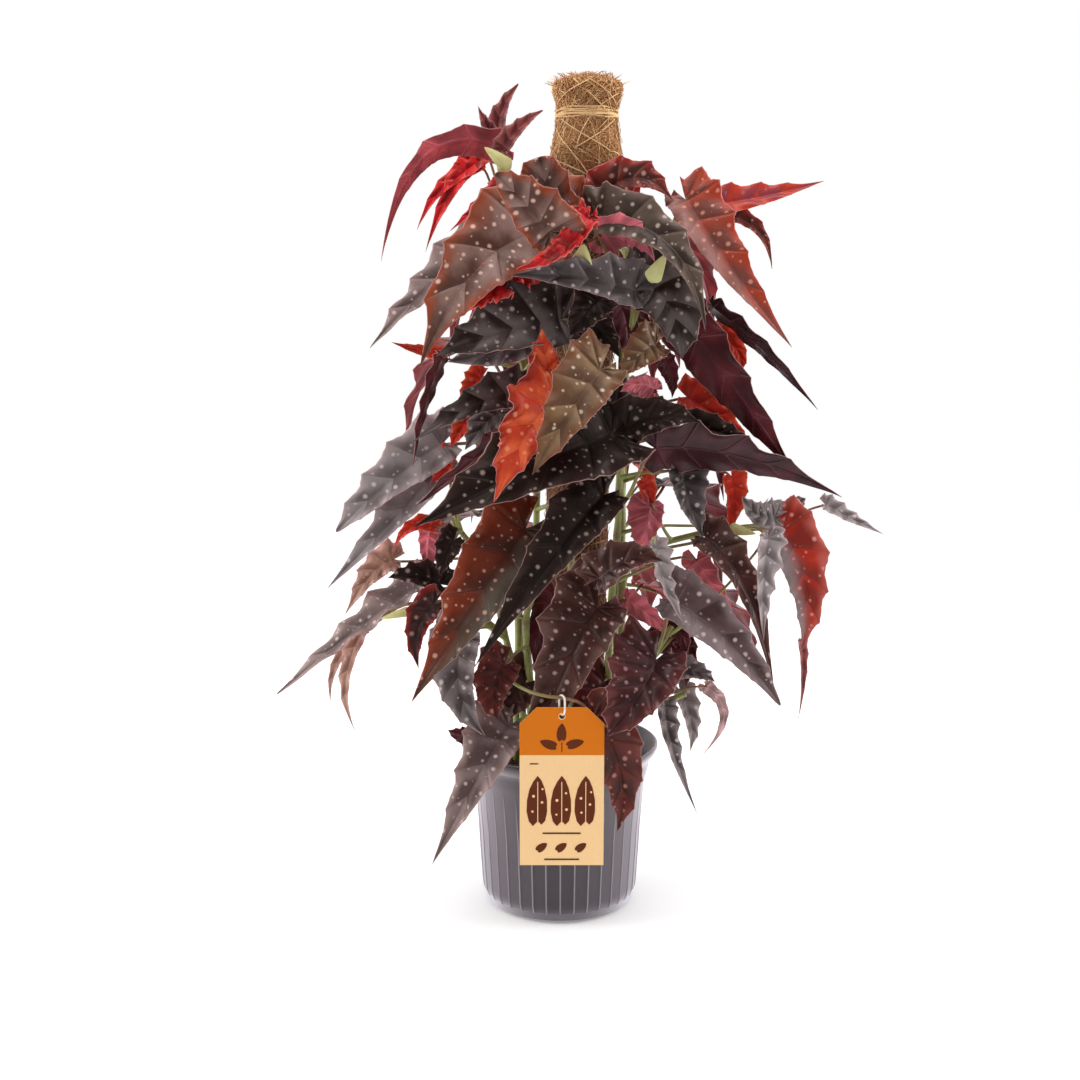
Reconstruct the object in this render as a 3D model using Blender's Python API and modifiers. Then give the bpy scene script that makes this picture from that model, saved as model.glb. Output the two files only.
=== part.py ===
"""A potted begonia tied up a coir pole: ribbed pot, soil, pole, leafy canes and a hanging care tag.

Metres, +Z up. The origin is at the middle of the pot's flat foot, and the front is -Y.
"""
import math
import random

import bmesh
import bpy
from mathutils import Vector
from mathutils.bvhtree import BVHTree

MM = 0.001
GAP = 0.0003

# Pot: outside profile from the lip down, as (radius, height)
POT_SIDES = 36
LIP_RADIUS = 0.100
POT_HEIGHT = 0.1670
FOOT_RADIUS = 0.0575
FOOT_ROUNDING = 0.0215
FOOT_ARC_STEPS = 3
POT_WALL = 0.0020
POT_FLOOR = 0.0030
FLOOR_EDGE = (0.0765, FOOT_ROUNDING)
LIP_INSIDE = (0.0970, 0.1660)
POT_OUTSIDE = (
    (0.0985, POT_HEIGHT), (LIP_RADIUS, 0.1650), (0.0998, 0.1625), (0.0925, 0.1520), (0.0905, 0.1410),
    (0.0866, 0.1260), (0.0825, 0.0810),
)

# Soil
SOIL_SIDES = 18
SOIL_TOP = 0.143
SOIL_CROWN = 0.003
STEM_DEPTH = 0.028
HOLE_FOOT, HOLE_TOP, HOLE_SIDES = -0.010, 0.170, 8

# Coir pole: (height, radius) from the pot's floor to the frayed top
POLE_X = 0.012
POLE_TOP_X = 0.0255
POLE_SIDES = 20
POLE_OUTLINE = (
    (0.160, 0.0300), (0.300, 0.0310), (0.460, 0.0300), (0.620, 0.0312), (0.715, 0.0322),
    (0.753, 0.0328), (0.777, 0.0285), (0.795, 0.0285), (0.807, 0.0325), (0.817, 0.0335), (0.823, 0.0300),
)
TIE_HEIGHT = 0.786
TIE_RADIUS = 0.0017
TIE_SIDES = 20

# Front view that leaf places are read from: one unit is 1 mm where the sight line meets the pole
EYE = Vector((-0.020, -1.550, 0.644))
AIM = Vector((-0.020, 0.0, 0.374))
AIM_UP = 0.382
SIGHT = (AIM - EYE).normalized()
RIGHT = Vector((1.0, 0.0, 0.0))
UP = RIGHT.cross(SIGHT)

# Care tag and its loop
TAG_FRONT = 138
TAG_WIDTH = 0.079
TAG_HEIGHT = 0.154
TAG_CHAMFER = 0.016
TAG_THICKNESS = 0.0008
TAG_HOLE = 0.0026
TAG_HOLE_DROP = 0.0085
LOOP_WIRE = 0.0006
LOOP_HALF_WIDTH = 0.0040
LOOP_TURN = 40
LOOP_POINTS = 12
PETIOLE_RADIUS = 0.0016
PETIOLE_STEPS = 2
JOINT_SHARE, JOINT_LEAST = 0.08, 0.005

# Leaf outline: where each side vein leaves the midrib, then its angle to it and its reach in leaf widths
VEIN_STARTS = (0.00, 0.00, 0.01, 0.16, 0.38, 0.61, 1.00)
WIDE_SIDE = ((168, 0.42), (128, 0.60), (90, 0.60), (62, 0.60), (46, 0.51), (33, 0.38), (20, 0.00))
NARROW_SIDE = ((148, 0.24), (112, 0.36), (80, 0.41), (58, 0.45), (44, 0.42), (32, 0.33), (20, 0.00))
VEINS = len(VEIN_STARTS)
TOOTH_DIP = 0.13
RUFFLE = 0.075
FOLD = 14
BLADE = 0.0008
SMALL_LEAF = 0.128

# Canes: where each stands in the soil (metres), then its way up in the front view (across, up, front)
CANES = (
    ("cane_front_left", (-0.034, -0.034), ((-40, 235, 44), (-52, 275, 50), (-72, 350, 48), (-108, 402, 38)),
     ((-54, 285, 50), (-105, 318, 46), (-150, 314, 42))),
    ("cane_front_middle_left", (-0.020, -0.050), ((-34, 290, 60), (-26, 340, 56), (-24, 460, 50),
                                                  (-38, 562, 50)), ()),
    ("cane_front", (0.014, -0.056), ((10, 300, 62), (14, 450, 62), (16, 612, 64)), ()),
    ("cane_front_right", (0.048, -0.040), ((50, 300, 46), (58, 400, 46), (62, 520, 50), (78, 640, 46)), ()),
    ("cane_top_left", (-0.044, 0.004), ((-40, 400, -2), (-36, 600, 4), (-62, 765, 12)), ()),
    ("cane_top_right", (0.064, 0.022), ((62, 400, -16), (64, 600, -4), (98, 684, 12), (150, 708, 24)), ()),
    ("cane_right", (0.066, -0.018), ((62, 300, 22), (72, 360, 28), (130, 386, 36), (222, 396, 50)), ()),
    ("cane_low_right", (0.040, -0.060), ((66, 215, 72), (84, 250, 74), (112, 296, 66)),
     ((76, 228, 74), (102, 221, 82), (126, 228, 84))),
    ("cane_back_left", (-0.026, 0.044), ((-44, 350, -48), (-42, 520, -58), (-34, 680, -56)), ()),
    ("cane_back_right", (0.050, 0.050), ((58, 350, -54), (66, 520, -62), (66, 680, -56)), ()),
)
CANE_RADIUS = 0.0044
CANE_TIP_RADIUS = 0.0028
CANE_SIDES = 6
CANE_STEPS = 2
NODE_SPACING = 0.030

# Leaves in the front view: base, middle and tip of the midrib as (across, up, front), width, roll, twist
LEAVES = (
    ("under_tag", (34, 204, 122), (60, 146, 116), (57, 90, 112), 58, 0, 0),
    ("front_middle", (37, 314, 104), (2, 246, 120), (-42, 135, 114), 78, 8, 0),
    ("front_left_brown", (-35, 392, 122), (-90, 312, 130), (-149, 219, 120), 76, 6, 0),
    ("large_black", (52, 487, 100), (-34, 452, 116), (-145, 395, 104), 108, 24, 0),
    ("orange_fan", (-4, 527, 122), (-34, 486, 134), (-66, 420, 132), 66, 0, 0),
    ("tan_lobed", (40, 552, 116), (8, 506, 128), (-27, 448, 126), 62, 6, 0),
    ("broad_grey_left", (0, 602, 96), (-62, 590, 108), (-124, 566, 100), 74, 20, 0),
    ("big_top_brown", (-7, 692, 78), (-80, 656, 98), (-140, 555, 102), 98, 12, 0),
    ("young_crinkled", (28, 704, 124), (-4, 669, 134), (-50, 651, 128), 28, 10, 0),
    ("grey_centre", (74, 632, 96), (14, 645, 112), (-52, 646, 116), 48, 20, 0),
    ("arched_top_right", (41, 705, 78), (112, 674, 100), (146, 588, 108), 52, 22, 0),
    ("orange_top_right", (126, 722, 52), (170, 656, 68), (231, 576, 72), 56, 22, 0),
    ("maroon_right_big", (120, 612, 58), (178, 528, 68), (240, 440, 66), 60, 165, 0),
    ("purple_right", (95, 474, 78), (184, 464, 80), (281, 425, 66), 66, 140, 0),
    ("grey_two_lobed_upper", (-118, 478, 58), (-180, 432, 72), (-229, 384, 66), 58, 20, 0),
    ("grey_two_lobed_lower", (-116, 458, 66), (-172, 398, 82), (-234, 332, 76), 48, 24, 0),
    ("long_grey_left", (-145, 334, 40), (-216, 282, 46), (-293, 219, 36), 54, 58, 0),
    ("right_brown_low", (114, 322, 86), (175, 274, 100), (226, 207, 94), 56, 14, 0),
    ("right_dark_narrow", (146, 384, 72), (186, 332, 86), (214, 232, 78), 44, 30, 0),
    ("right_red", (223, 392, 56), (246, 334, 66), (241, 270, 64), 56, 0, 0),
    ("top_left_arched", (-59, 776, 22), (-136, 764, 34), (-178, 661, 44), 36, 160, 0),
    ("top_left_red", (-74, 768, 8), (-108, 732, 20), (-135, 669, 26), 28, 24, 0),
    ("grey_upper_left", (-70, 687, 26), (-136, 630, 40), (-190, 574, 40), 56, 48, 0),
    ("top_right_long_red", (146, 716, 24), (205, 726, 20), (264, 741, 12), 34, 26, 0),
    ("top_right_narrow", (163, 706, 20), (197, 693, 22), (212, 653, 22), 22, 30, 0),
    ("top_right_curled", (46, 730, 44), (80, 744, 52), (112, 722, 56), 42, 20, 0),
    ("pink_under_top", (40, 687, 84), (72, 690, 92), (95, 660, 94), 40, 160, 0),
    ("dark_upper_right", (84, 640, 92), (112, 612, 104), (122, 562, 106), 72, 4, 0),
    ("twisted_right", (152, 616, 44), (207, 568, 50), (258, 512, 48), 30, 122, 30),
    ("orange_mid_right", (128, 524, 46), (162, 500, 50), (197, 467, 50), 38, 16, 0),
    ("small_dark_right", (134, 494, 88), (166, 487, 94), (194, 474, 94), 32, 16, 0),
    ("grey_far_right", (266, 417, 42), (294, 402, 42), (323, 388, 38), 20, 38, 0),
    ("grey_folded_right", (124, 450, 66), (130, 420, 74), (143, 384, 72), 40, 16, 0),
    ("red_strip_right", (172, 444, 26), (174, 416, 30), (163, 382, 30), 26, 0, 0),
    ("pink_hanging_middle", (90, 416, 46), (86, 390, 52), (80, 360, 52), 38, 178, 0),
    ("grey_cluster_left", (214, 404, 56), (196, 408, 62), (182, 426, 62), 32, 20, 0),
    ("grey_cluster_right", (222, 400, 44), (234, 414, 46), (246, 424, 44), 28, 20, 0),
    ("grey_hanging_right", (208, 384, 44), (203, 334, 50), (204, 285, 48), 30, 36, 0),
    ("pale_curl_right", (95, 374, 62), (105, 337, 70), (125, 297, 70), 32, 52, 0),
    ("pink_behind_right", (137, 362, 40), (156, 331, 46), (176, 297, 46), 34, 152, 0),
    ("dark_mid_right", (40, 344, 92), (70, 362, 98), (102, 360, 96), 44, 28, 0),
    ("big_dark_low_right", (96, 262, 96), (79, 229, 110), (48, 186, 116), 78, 4, 0),
    ("maroon_low_right", (98, 284, 66), (118, 290, 70), (127, 266, 70), 34, 168, 0),
    ("crumpled_right_top", (114, 252, 74), (136, 250, 80), (155, 240, 80), 28, 20, 0),
    ("crumpled_right_outer", (146, 236, 72), (164, 206, 78), (142, 167, 76), 17, 150, 20),
    ("crumpled_right_inner", (120, 232, 78), (131, 200, 84), (130, 170, 84), 26, 30, 0),
    ("narrow_low_right", (104, 216, 92), (114, 168, 104), (137, 109, 100), 24, 34, 0),
    ("thin_hanging_two", (-196, 292, 34), (-214, 240, 40), (-205, 192, 40), 24, 44, 0),
    ("curled_brown_left", (-168, 362, 26), (-190, 346, 32), (-215, 307, 30), 34, 16, 0),
    ("small_dark_left", (-120, 338, 56), (-146, 346, 62), (-172, 344, 60), 34, 28, 0),
    ("red_edged_left", (-126, 318, 62), (-143, 291, 70), (-141, 254, 70), 32, 6, 0),
    ("grey_hanging_left", (-98, 284, 96), (-100, 232, 106), (-74, 185, 108), 52, 12, 0),
    ("maroon_low_left", (-56, 256, 76), (-66, 230, 84), (-62, 204, 88), 44, 4, 0),
    ("low_left_long", (-52, 196, 98), (-84, 142, 112), (-128, 57, 100), 60, 14, 0),
    ("red_tip_left", (-118, 566, 36), (-144, 572, 40), (-169, 580, 38), 16, 20, 0),
    ("grey_mid_left", (-40, 529, 86), (-88, 516, 94), (-147, 480, 86), 44, 24, 0),
    ("maroon_strip_left", (-118, 564, 84), (-136, 512, 92), (-147, 455, 90), 24, 128, 0),
    ("maroon_slant_left", (-48, 492, 80), (-96, 454, 88), (-147, 414, 84), 36, 134, 0),
    ("dark_behind_black", (44, 427, 92), (-14, 358, 102), (-83, 258, 102), 62, 10, 0),
    ("dark_centre", (40, 622, 96), (26, 608, 104), (10, 586, 104), 42, 0, 0),
    ("brown_curled", (95, 577, 88), (80, 566, 96), (62, 547, 96), 40, 10, 0),
    ("maroon_centre", (70, 617, 86), (82, 598, 92), (80, 576, 92), 30, 170, 0),
    ("red_young_upper", (-25, 626, 60), (-56, 630, 68), (-92, 600, 66), 42, 26, 0),
    ("black_lobe", (50, 486, 96), (98, 505, 98), (141, 499, 96), 50, 10, 0),
    ("antler_inner", (-61, 780, 24), (-58, 812, 26), (-38, 842, 20), 24, 20, 0),
    ("antler_outer", (-56, 775, 28), (-38, 797, 30), (-14, 813, 24), 20, 20, 0),
    ("orange_crown", (-6, 531, 120), (-14, 560, 128), (-18, 594, 122), 44, 0, 0),
    ("top_crown", (-8, 694, 76), (-13, 732, 82), (-22, 770, 76), 76, 0, 0),
    ("top_crown_left", (-10, 690, 90), (-38, 722, 98), (-66, 750, 92), 54, 0, 0),
)

# Leaves behind the pole, by rule
BACK_LEAVES = 17
BACK_SEED = 11
BACK_LOW, BACK_HIGH = 0.30, 0.74

# How far forward of its base a front leaf's tip hangs, in leaf lengths, and the leaves that hang close
REACH_FORWARD = 0.30
HANGS_CLOSE = ("under_tag", "front_middle")

# The petiole that carries the tag: its cane, and its way in the front view
TAG_CARRIER = "under_tag"
TAG_CANE = "cane_front_left"
TAG_HANG = (2, 224, TAG_FRONT)
TAG_PETIOLE = ((-50, 244, 92), (-34, 232, 126), (-14, 226, TAG_FRONT), TAG_HANG, (20, 219, 134))
LOOP_DROP = 0.0175

# How far a leaf may be moved along the sight line, and the room it keeps to its neighbours
MOVE_STEP = 0.006
MOVES = 11
ROOM = 0.0012
OWN_COST, CANE_COST = 12, 3

COLOURS = {
    "pot": ((0.095, 0.082, 0.098), 0.35), "soil": ((0.022, 0.014, 0.010), 0.95),
    "coir_pole": ((0.42, 0.22, 0.10), 0.95), "pole_tie": ((0.56, 0.38, 0.18), 0.85),
    "care_tag": ((0.92, 0.62, 0.34), 0.55), "tag_loop": ((0.88, 0.86, 0.82), 0.40),
    "leafy": ((0.085, 0.030, 0.026), 0.45),
}


def clear_scene():
    """Remove whatever the file holds."""
    for old in list(bpy.data.objects):
        bpy.data.objects.remove(old, do_unlink=True)


def new_collection(name):
    """A collection linked to the scene."""
    made = bpy.data.collections.new(name)
    bpy.context.scene.collection.children.link(made)
    return made


def material(name, key):
    """A plain Principled material with the sub-part's colour and roughness."""
    colour, roughness = COLOURS[key]
    made = bpy.data.materials.new(name)
    made.use_nodes = True
    shader = made.node_tree.nodes["Principled BSDF"]
    shader.inputs["Base Color"].default_value = (*colour, 1.0)
    shader.inputs["Roughness"].default_value = roughness
    shader.inputs["Metallic"].default_value = 0.0
    return made


def mesh_object(name, vertices, faces, collection):
    """A mesh object from vertices and faces, its doubles joined and its faces turned outwards."""
    mesh = bpy.data.meshes.new(name)
    mesh.from_pydata([tuple(v) for v in vertices], [], faces)
    shape = bmesh.new()
    shape.from_mesh(mesh)
    bmesh.ops.remove_doubles(shape, verts=shape.verts, dist=1e-5)
    bmesh.ops.dissolve_degenerate(shape, edges=shape.edges, dist=1e-6)
    shape.to_mesh(mesh)
    shape.free()
    made = bpy.data.objects.new(name, mesh)
    collection.objects.link(made)
    return made


def turned(name, profile, sides, collection):
    """A profile of (radius, height), given down its outer side, turned about Z."""
    mesh = bpy.data.meshes.new(name)
    points = [(r, 0.0, z) for r, z in profile]
    mesh.from_pydata(points, [(i, i + 1) for i in range(len(points) - 1)], [])
    made = bpy.data.objects.new(name, mesh)
    collection.objects.link(made)
    screw = made.modifiers.new("Turn", "SCREW")
    screw.steps = sides
    screw.render_steps = sides
    screw.use_merge_vertices = True
    screw.merge_threshold = 1e-5
    screw.use_smooth_shade = False
    return made


def tube(name, points, radii, sides, collection, closed=False):
    """A tube object along points, with a radius at each."""
    curve = bpy.data.curves.new(name, "CURVE")
    curve.dimensions = "3D"
    curve.resolution_u = 1
    curve.bevel_depth = 1.0
    curve.bevel_resolution = max(0, (sides - 4) // 2)
    curve.use_fill_caps = not closed
    spline = curve.splines.new("POLY")
    spline.points.add(len(points) - 1)
    for spot, place, radius in zip(spline.points, points, radii):
        spot.co = (*place, 1.0)
        spot.radius = radius
    spline.use_cyclic_u = closed
    made = bpy.data.objects.new(name, curve)
    collection.objects.link(made)
    return made


def as_mesh(source, collection, weld=True):
    """Replace an object by a mesh of what its modifiers or bevel show, its caps welded."""
    bpy.context.view_layer.update()
    evaluated = source.evaluated_get(bpy.context.evaluated_depsgraph_get())
    mesh = bpy.data.meshes.new_from_object(evaluated)
    if weld:
        shape = bmesh.new()
        shape.from_mesh(mesh)
        bmesh.ops.remove_doubles(shape, verts=shape.verts, dist=1e-6)
        bmesh.ops.recalc_face_normals(shape, faces=shape.faces)
        shape.to_mesh(mesh)
        shape.free()
    name = source.name
    made = bpy.data.objects.new(name, mesh)
    made.matrix_world = source.matrix_world
    bpy.data.objects.remove(source, do_unlink=True)
    made.name = name
    collection.objects.link(made)
    return made


def smooth_way(points, steps):
    """Points along a Catmull-Rom curve through the given ones."""
    ends = [points[0] * 2 - points[1], *points, points[-1] * 2 - points[-2]]
    way = []
    for i in range(len(points) - 1):
        a, b, c, d = ends[i:i + 4]
        for k in range(steps):
            t = k / steps
            way.append(0.5 * (2 * b + (c - a) * t + (2 * a - 5 * b + 4 * c - d) * t * t
                              + (3 * b - a - 3 * c + d) * t ** 3))
    way.append(points[-1].copy())
    return way


def seen(place):
    """The point that is `front` mm before the pole's plane and shows at (across, up) in the front view."""
    across, up, front = place
    line = AIM + RIGHT * (across * MM - AIM.x) + UP * (up * MM - AIM_UP) - EYE
    return EYE + line * ((-front * MM - EYE.y) / line.y)


def pole_axis(height):
    """Where the pole's axis is at a height; it leans a little above the soil."""
    top = POLE_OUTLINE[-1][0]
    lean = max(0.0, height - SOIL_TOP) / (top - SOIL_TOP)
    return POLE_X + (POLE_TOP_X - POLE_X) * lean


def foot_arc():
    """The rounding between the pot's wall and its flat foot."""
    points = []
    for k in range(FOOT_ARC_STEPS + 1):
        turn = math.pi / 2 * k / FOOT_ARC_STEPS
        points.append((FOOT_RADIUS + FOOT_ROUNDING * math.cos(turn), FOOT_ROUNDING * (1 - math.sin(turn))))
    return points


def pot_inside():
    """The inner profile from the floor's edge up to the lip."""
    wall = [(r - POT_WALL, z) for r, z in reversed(POT_OUTSIDE[3:])]
    return [(FOOT_RADIUS, POT_FLOOR), FLOOR_EDGE, *wall, LIP_INSIDE]


def make_pot(collection):
    """The ribbed pot: one turned shell whose flats are the flutes between its ribs."""
    profile = [(0.0, POT_FLOOR), *pot_inside(), *POT_OUTSIDE, *foot_arc(), (0.0, 0.0)]
    pot = turned("pot", profile, POT_SIDES, collection)
    pot.data.materials.append(material("pot", "pot"))
    return pot


def cylinder_cutter(name, x, y, radius, low, high, sides, cutters):
    """An upright cylinder that cuts a hole whose flats keep the given radius clear."""
    shape = bmesh.new()
    bmesh.ops.create_cone(shape, cap_ends=True, segments=sides, radius1=radius / math.cos(math.pi / sides),
                          radius2=radius / math.cos(math.pi / sides), depth=high - low)
    bmesh.ops.translate(shape, verts=shape.verts, vec=(x, y, (low + high) / 2))
    mesh = bpy.data.meshes.new(name)
    shape.to_mesh(mesh)
    shape.free()
    made = bpy.data.objects.new(name, mesh)
    made.display_type = "WIRE"
    made.hide_render = True
    cutters.objects.link(made)
    return made


def make_soil(collection, cutters):
    """The soil that fills the pot, with a plain hole for the pole and for each cane."""
    side = [(r - 2 * GAP, z + 2 * GAP) for r, z in pot_inside() if z < SOIL_TOP]
    below, above = pot_inside()[len(side) - 1], pot_inside()[len(side)]
    share = (SOIL_TOP - below[1]) / (above[1] - below[1])
    rim = below[0] + (above[0] - below[0]) * share - 2 * GAP
    profile = [(0.0, SOIL_TOP + SOIL_CROWN), (rim * 0.6, SOIL_TOP + 0.7 * SOIL_CROWN), (rim, SOIL_TOP),
               *reversed(side), (0.0, POT_FLOOR + 2 * GAP)]
    soil = turned("soil", profile, SOIL_SIDES, collection)
    cylinder_cutter("pole_hole", POLE_X, 0.0, POLE_OUTLINE[0][1] + GAP, HOLE_FOOT, HOLE_TOP, POLE_SIDES,
                    cutters)
    for name, (x, y), *_ in CANES:
        foot = SOIL_TOP - STEM_DEPTH - GAP
        cylinder_cutter(name + "_hole", x, y, CANE_RADIUS + GAP, foot, HOLE_TOP, HOLE_SIDES, cutters)
    cut = soil.modifiers.new("Holes", "BOOLEAN")
    cut.operation = "DIFFERENCE"
    cut.operand_type = "COLLECTION"
    cut.collection = cutters
    soil.data.materials.append(material("soil", "soil"))
    return soil


def make_pole(collection):
    """The coir pole, standing on the pot's floor, with its tied waist and frayed top."""
    outline = [(POLE_OUTLINE[0][1], POT_FLOOR + GAP), *((r, z) for z, r in POLE_OUTLINE)]
    profile = [(0.0, outline[-1][1]), *reversed(outline), (0.0, POT_FLOOR + GAP)]
    pole = as_mesh(turned("coir_pole", profile, POLE_SIDES, collection), collection)
    for vertex in pole.data.vertices:
        vertex.co.x += pole_axis(vertex.co.z)
    pole.data.materials.append(material("coir_pole", "coir_pole"))
    return pole


def make_tie(collection):
    """The straw tie round the pole's waist."""
    waist = min(r for z, r in POLE_OUTLINE)
    way = []
    for k in range(TIE_SIDES):
        turn = 2 * math.pi * k / TIE_SIDES
        reach = waist + TIE_RADIUS + GAP
        way.append(Vector((pole_axis(TIE_HEIGHT) + reach * math.cos(turn), reach * math.sin(turn), TIE_HEIGHT)))
    tie = tube("pole_tie", way, [TIE_RADIUS] * TIE_SIDES, 4, collection, closed=True)
    tie.data.materials.append(material("pole_tie", "pole_tie"))
    return tie


def tag_hole():
    """The hole's centre, below the petiole by the length that the loop gives."""
    return seen(TAG_HANG) - Vector((0.0, 0.0, LOOP_DROP))


def make_tag(collection):
    """The care tag: a card with its two upper corners cut and a hole for the loop."""
    curve = bpy.data.curves.new("care_tag", "CURVE")
    curve.dimensions = "2D"
    curve.fill_mode = "BOTH"
    curve.extrude = TAG_THICKNESS / 2
    curve.resolution_u = 1
    half, cut, top = TAG_WIDTH / 2, TAG_CHAMFER, TAG_HOLE_DROP
    low = top - TAG_HEIGHT
    card = [(-half, low), (half, low), (half, top - cut), (half - cut, top), (cut - half, top), (-half, top - cut)]
    hole = [(TAG_HOLE * math.cos(2 * math.pi * k / 12), TAG_HOLE * math.sin(2 * math.pi * k / 12))
            for k in range(12)]
    for outline in (card, hole):
        spline = curve.splines.new("POLY")
        spline.points.add(len(outline) - 1)
        for spot, (x, z) in zip(spline.points, outline):
            spot.co = (x, z, 0.0, 1.0)
        spline.use_cyclic_u = True
    tag = bpy.data.objects.new("care_tag", curve)
    tag.location = tag_hole()
    tag.rotation_euler = (math.pi / 2, 0.0, 0.0)
    collection.objects.link(tag)
    tag.data.materials.append(material("care_tag", "care_tag"))
    return tag


def make_loop(collection):
    """The plastic loop, round at both ends, that runs through the tag's hole and over the petiole."""
    low = tag_hole().z + TAG_HOLE * math.cos(math.pi / 12) - LOOP_WIRE - GAP
    high = seen(TAG_HANG).z + PETIOLE_RADIUS + LOOP_WIRE + GAP
    straight = (high - low) / 2 - LOOP_HALF_WIDTH
    turn = math.radians(LOOP_TURN)
    across = Vector((math.sin(turn), -math.cos(turn), 0.0))
    middle = seen(TAG_HANG)
    middle.z = (low + high) / 2
    way = []
    for k in range(LOOP_POINTS):
        angle = 2 * math.pi * k / LOOP_POINTS
        rise = LOOP_HALF_WIDTH * math.sin(angle) + math.copysign(straight, math.sin(angle))
        way.append(middle + across * (LOOP_HALF_WIDTH * math.cos(angle)) + Vector((0.0, 0.0, rise)))
    loop = tube("tag_loop", way, [LOOP_WIRE] * LOOP_POINTS, 4, collection, closed=True)
    loop.data.materials.append(material("tag_loop", "tag_loop"))
    return loop


class Leaf:
    """One leaf: its midrib's base, middle and tip, its width, and how it faces."""

    def __init__(self, name, base, middle, tip, width, roll, twist, facing):
        self.name = name
        self.base, self.tip = base, tip
        self.control = middle * 2 - (base + tip) / 2
        self.width = width
        self.roll, self.twist = math.radians(roll), math.radians(twist)
        self.facing = facing
        self.length = (middle - base).length + (tip - middle).length
        slope = self.frame(0.5)[2]
        outward = math.copysign(0.3, base.x)
        self.up_sign = math.copysign(1.0, slope.z + outward * slope.x)

    def moved(self, shift):
        """The same leaf, moved by a vector."""
        middle = (self.control + (self.base + self.tip) / 2) / 2
        copy = Leaf(self.name, self.base + shift, middle + shift, self.tip + shift, self.width, 0, 0, self.facing)
        copy.roll, copy.twist, copy.up_sign = self.roll, self.twist, self.up_sign
        return copy

    def midrib(self, s):
        """The midrib's point and direction, s from 0 at the base to 1 at the tip."""
        t = max(0.0, s)
        point = self.base * (1 - t) ** 2 + self.control * (2 * t * (1 - t)) + self.tip * t * t
        along = (self.control - self.base) * (1 - t) + (self.tip - self.control) * t
        along.normalize()
        if s < 0.0:
            point = point + along * (s * self.length)
        return point, along

    def frame(self, s):
        """The midrib's point, the blade's normal and its sideways direction there."""
        point, along = self.midrib(s)
        normal = (self.facing - along * along.dot(self.facing)).normalized()
        return point, normal, along.cross(normal)

    def blade_frame(self, s):
        """The frame, rolled about the midrib so that a positive roll turns the face up."""
        point, normal, side = self.frame(s)
        side = side * self.up_sign
        roll = self.roll + self.twist * max(0.0, s)
        return (point, normal * math.cos(roll) + side * math.sin(roll),
                side * math.cos(roll) - normal * math.sin(roll))


def between(values, r):
    """A value at vein r, on a smooth curve through the values at whole veins."""
    k = min(int(r), VEINS - 2)
    t = r - k
    a, b, c, d = values[max(0, k - 1)], values[k], values[k + 1], values[min(VEINS - 1, k + 2)]
    return 0.5 * (2 * b + (c - a) * t + (2 * a - 5 * b + 4 * c - d) * t * t + (3 * b - a - 3 * c + d) * t ** 3)


def blade_point(leaf, wide, r, c):
    """The blade's point on the wide or narrow side, at vein r and share c of the way to the margin."""
    angles, reaches = zip(*(WIDE_SIDE if wide else NARROW_SIDE))
    hand = 1 if wide else -1
    tooth = 1 - TOOTH_DIP * abs(math.sin(math.pi * r)) ** 0.8
    reach = leaf.width * max(0.0, between(reaches, r)) * tooth * c
    angle = math.radians(between(angles, r))
    along = max(0.0, between(VEIN_STARTS, r)) * leaf.length + reach * math.cos(angle)
    across = reach * math.sin(angle)
    point, normal, side = leaf.blade_frame(min(1.0, along / leaf.length))
    taper = 1 - (r / (VEINS - 1)) ** 3
    lift = across * math.tan(math.radians(FOLD)) + RUFFLE * leaf.width * math.cos(2 * math.pi * r) * c * c * taper
    return point + side * (hand * across) + normal * lift


def blade_rows(leaf):
    """The rows that the blade is made with: a small leaf has one for each vein, others two."""
    step = 1.0 if leaf.length < SMALL_LEAF else 0.5
    return [k * step for k in range(int((VEINS - 1) / step) + 1)]


def blade_surface(leaf):
    """The blade's vertices and triangles, an open surface."""
    vertices, faces = [], []
    rows = blade_rows(leaf)
    for wide in (True, False):
        start = len(vertices)
        for r in rows:
            vertices += [blade_point(leaf, wide, r, 0.0), blade_point(leaf, wide, r, 1.0)]
        for k in range(len(rows) - 1):
            a = start + 2 * k
            corners = ((a, a + 1, a + 3), (a, a + 3, a + 2))
            faces += corners if wide else [tuple(reversed(face)) for face in corners]
    return vertices, faces


def make_blade(leaf, collection):
    """The leaf's blade as a closed solid."""
    vertices, faces = blade_surface(leaf)
    blade = mesh_object(leaf.name, vertices, faces, collection)
    thick = blade.modifiers.new("Thickness", "SOLIDIFY")
    thick.thickness = BLADE
    thick.offset = 0.0
    return as_mesh(blade, collection)


def petiole_way(leaf, root, route):
    """The petiole's points from its root in the cane to just inside the blade."""
    joint = max(JOINT_SHARE, JOINT_LEAST / leaf.length)
    end, normal, _ = leaf.blade_frame(joint)
    along = leaf.midrib(joint)[1]
    if route:
        return smooth_way([root, *(seen(place) for place in route), end], 2)
    span = (end - root).length
    outward = Vector((end.x - root.x, end.y - root.y, 0.4 * span)).normalized()
    leave = root + outward * (0.36 * span)
    arrive = end - (along * 0.6 + normal * 0.8).normalized() * (0.30 * span)
    way = []
    for k in range(PETIOLE_STEPS + 1):
        t = k / PETIOLE_STEPS
        way.append(root * (1 - t) ** 3 + leave * (3 * t * (1 - t) ** 2)
                   + arrive * (3 * t * t * (1 - t)) + end * t ** 3)
    return way


def tube_shell(way, radius):
    """Vertices and quads of a plain four-sided tube, for testing what a petiole crosses."""
    vertices, faces = [], []
    for k, point in enumerate(way):
        along = (way[min(k + 1, len(way) - 1)] - way[max(k - 1, 0)]).normalized()
        side = along.orthogonal().normalized()
        other = along.cross(side)
        vertices += [point + side * radius, point + other * radius, point - side * radius, point - other * radius]
        if k:
            a = 4 * (k - 1)
            faces += [(a + i, a + (i + 1) % 4, a + 4 + (i + 1) % 4, a + 4 + i) for i in range(4)]
    return vertices, faces


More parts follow.
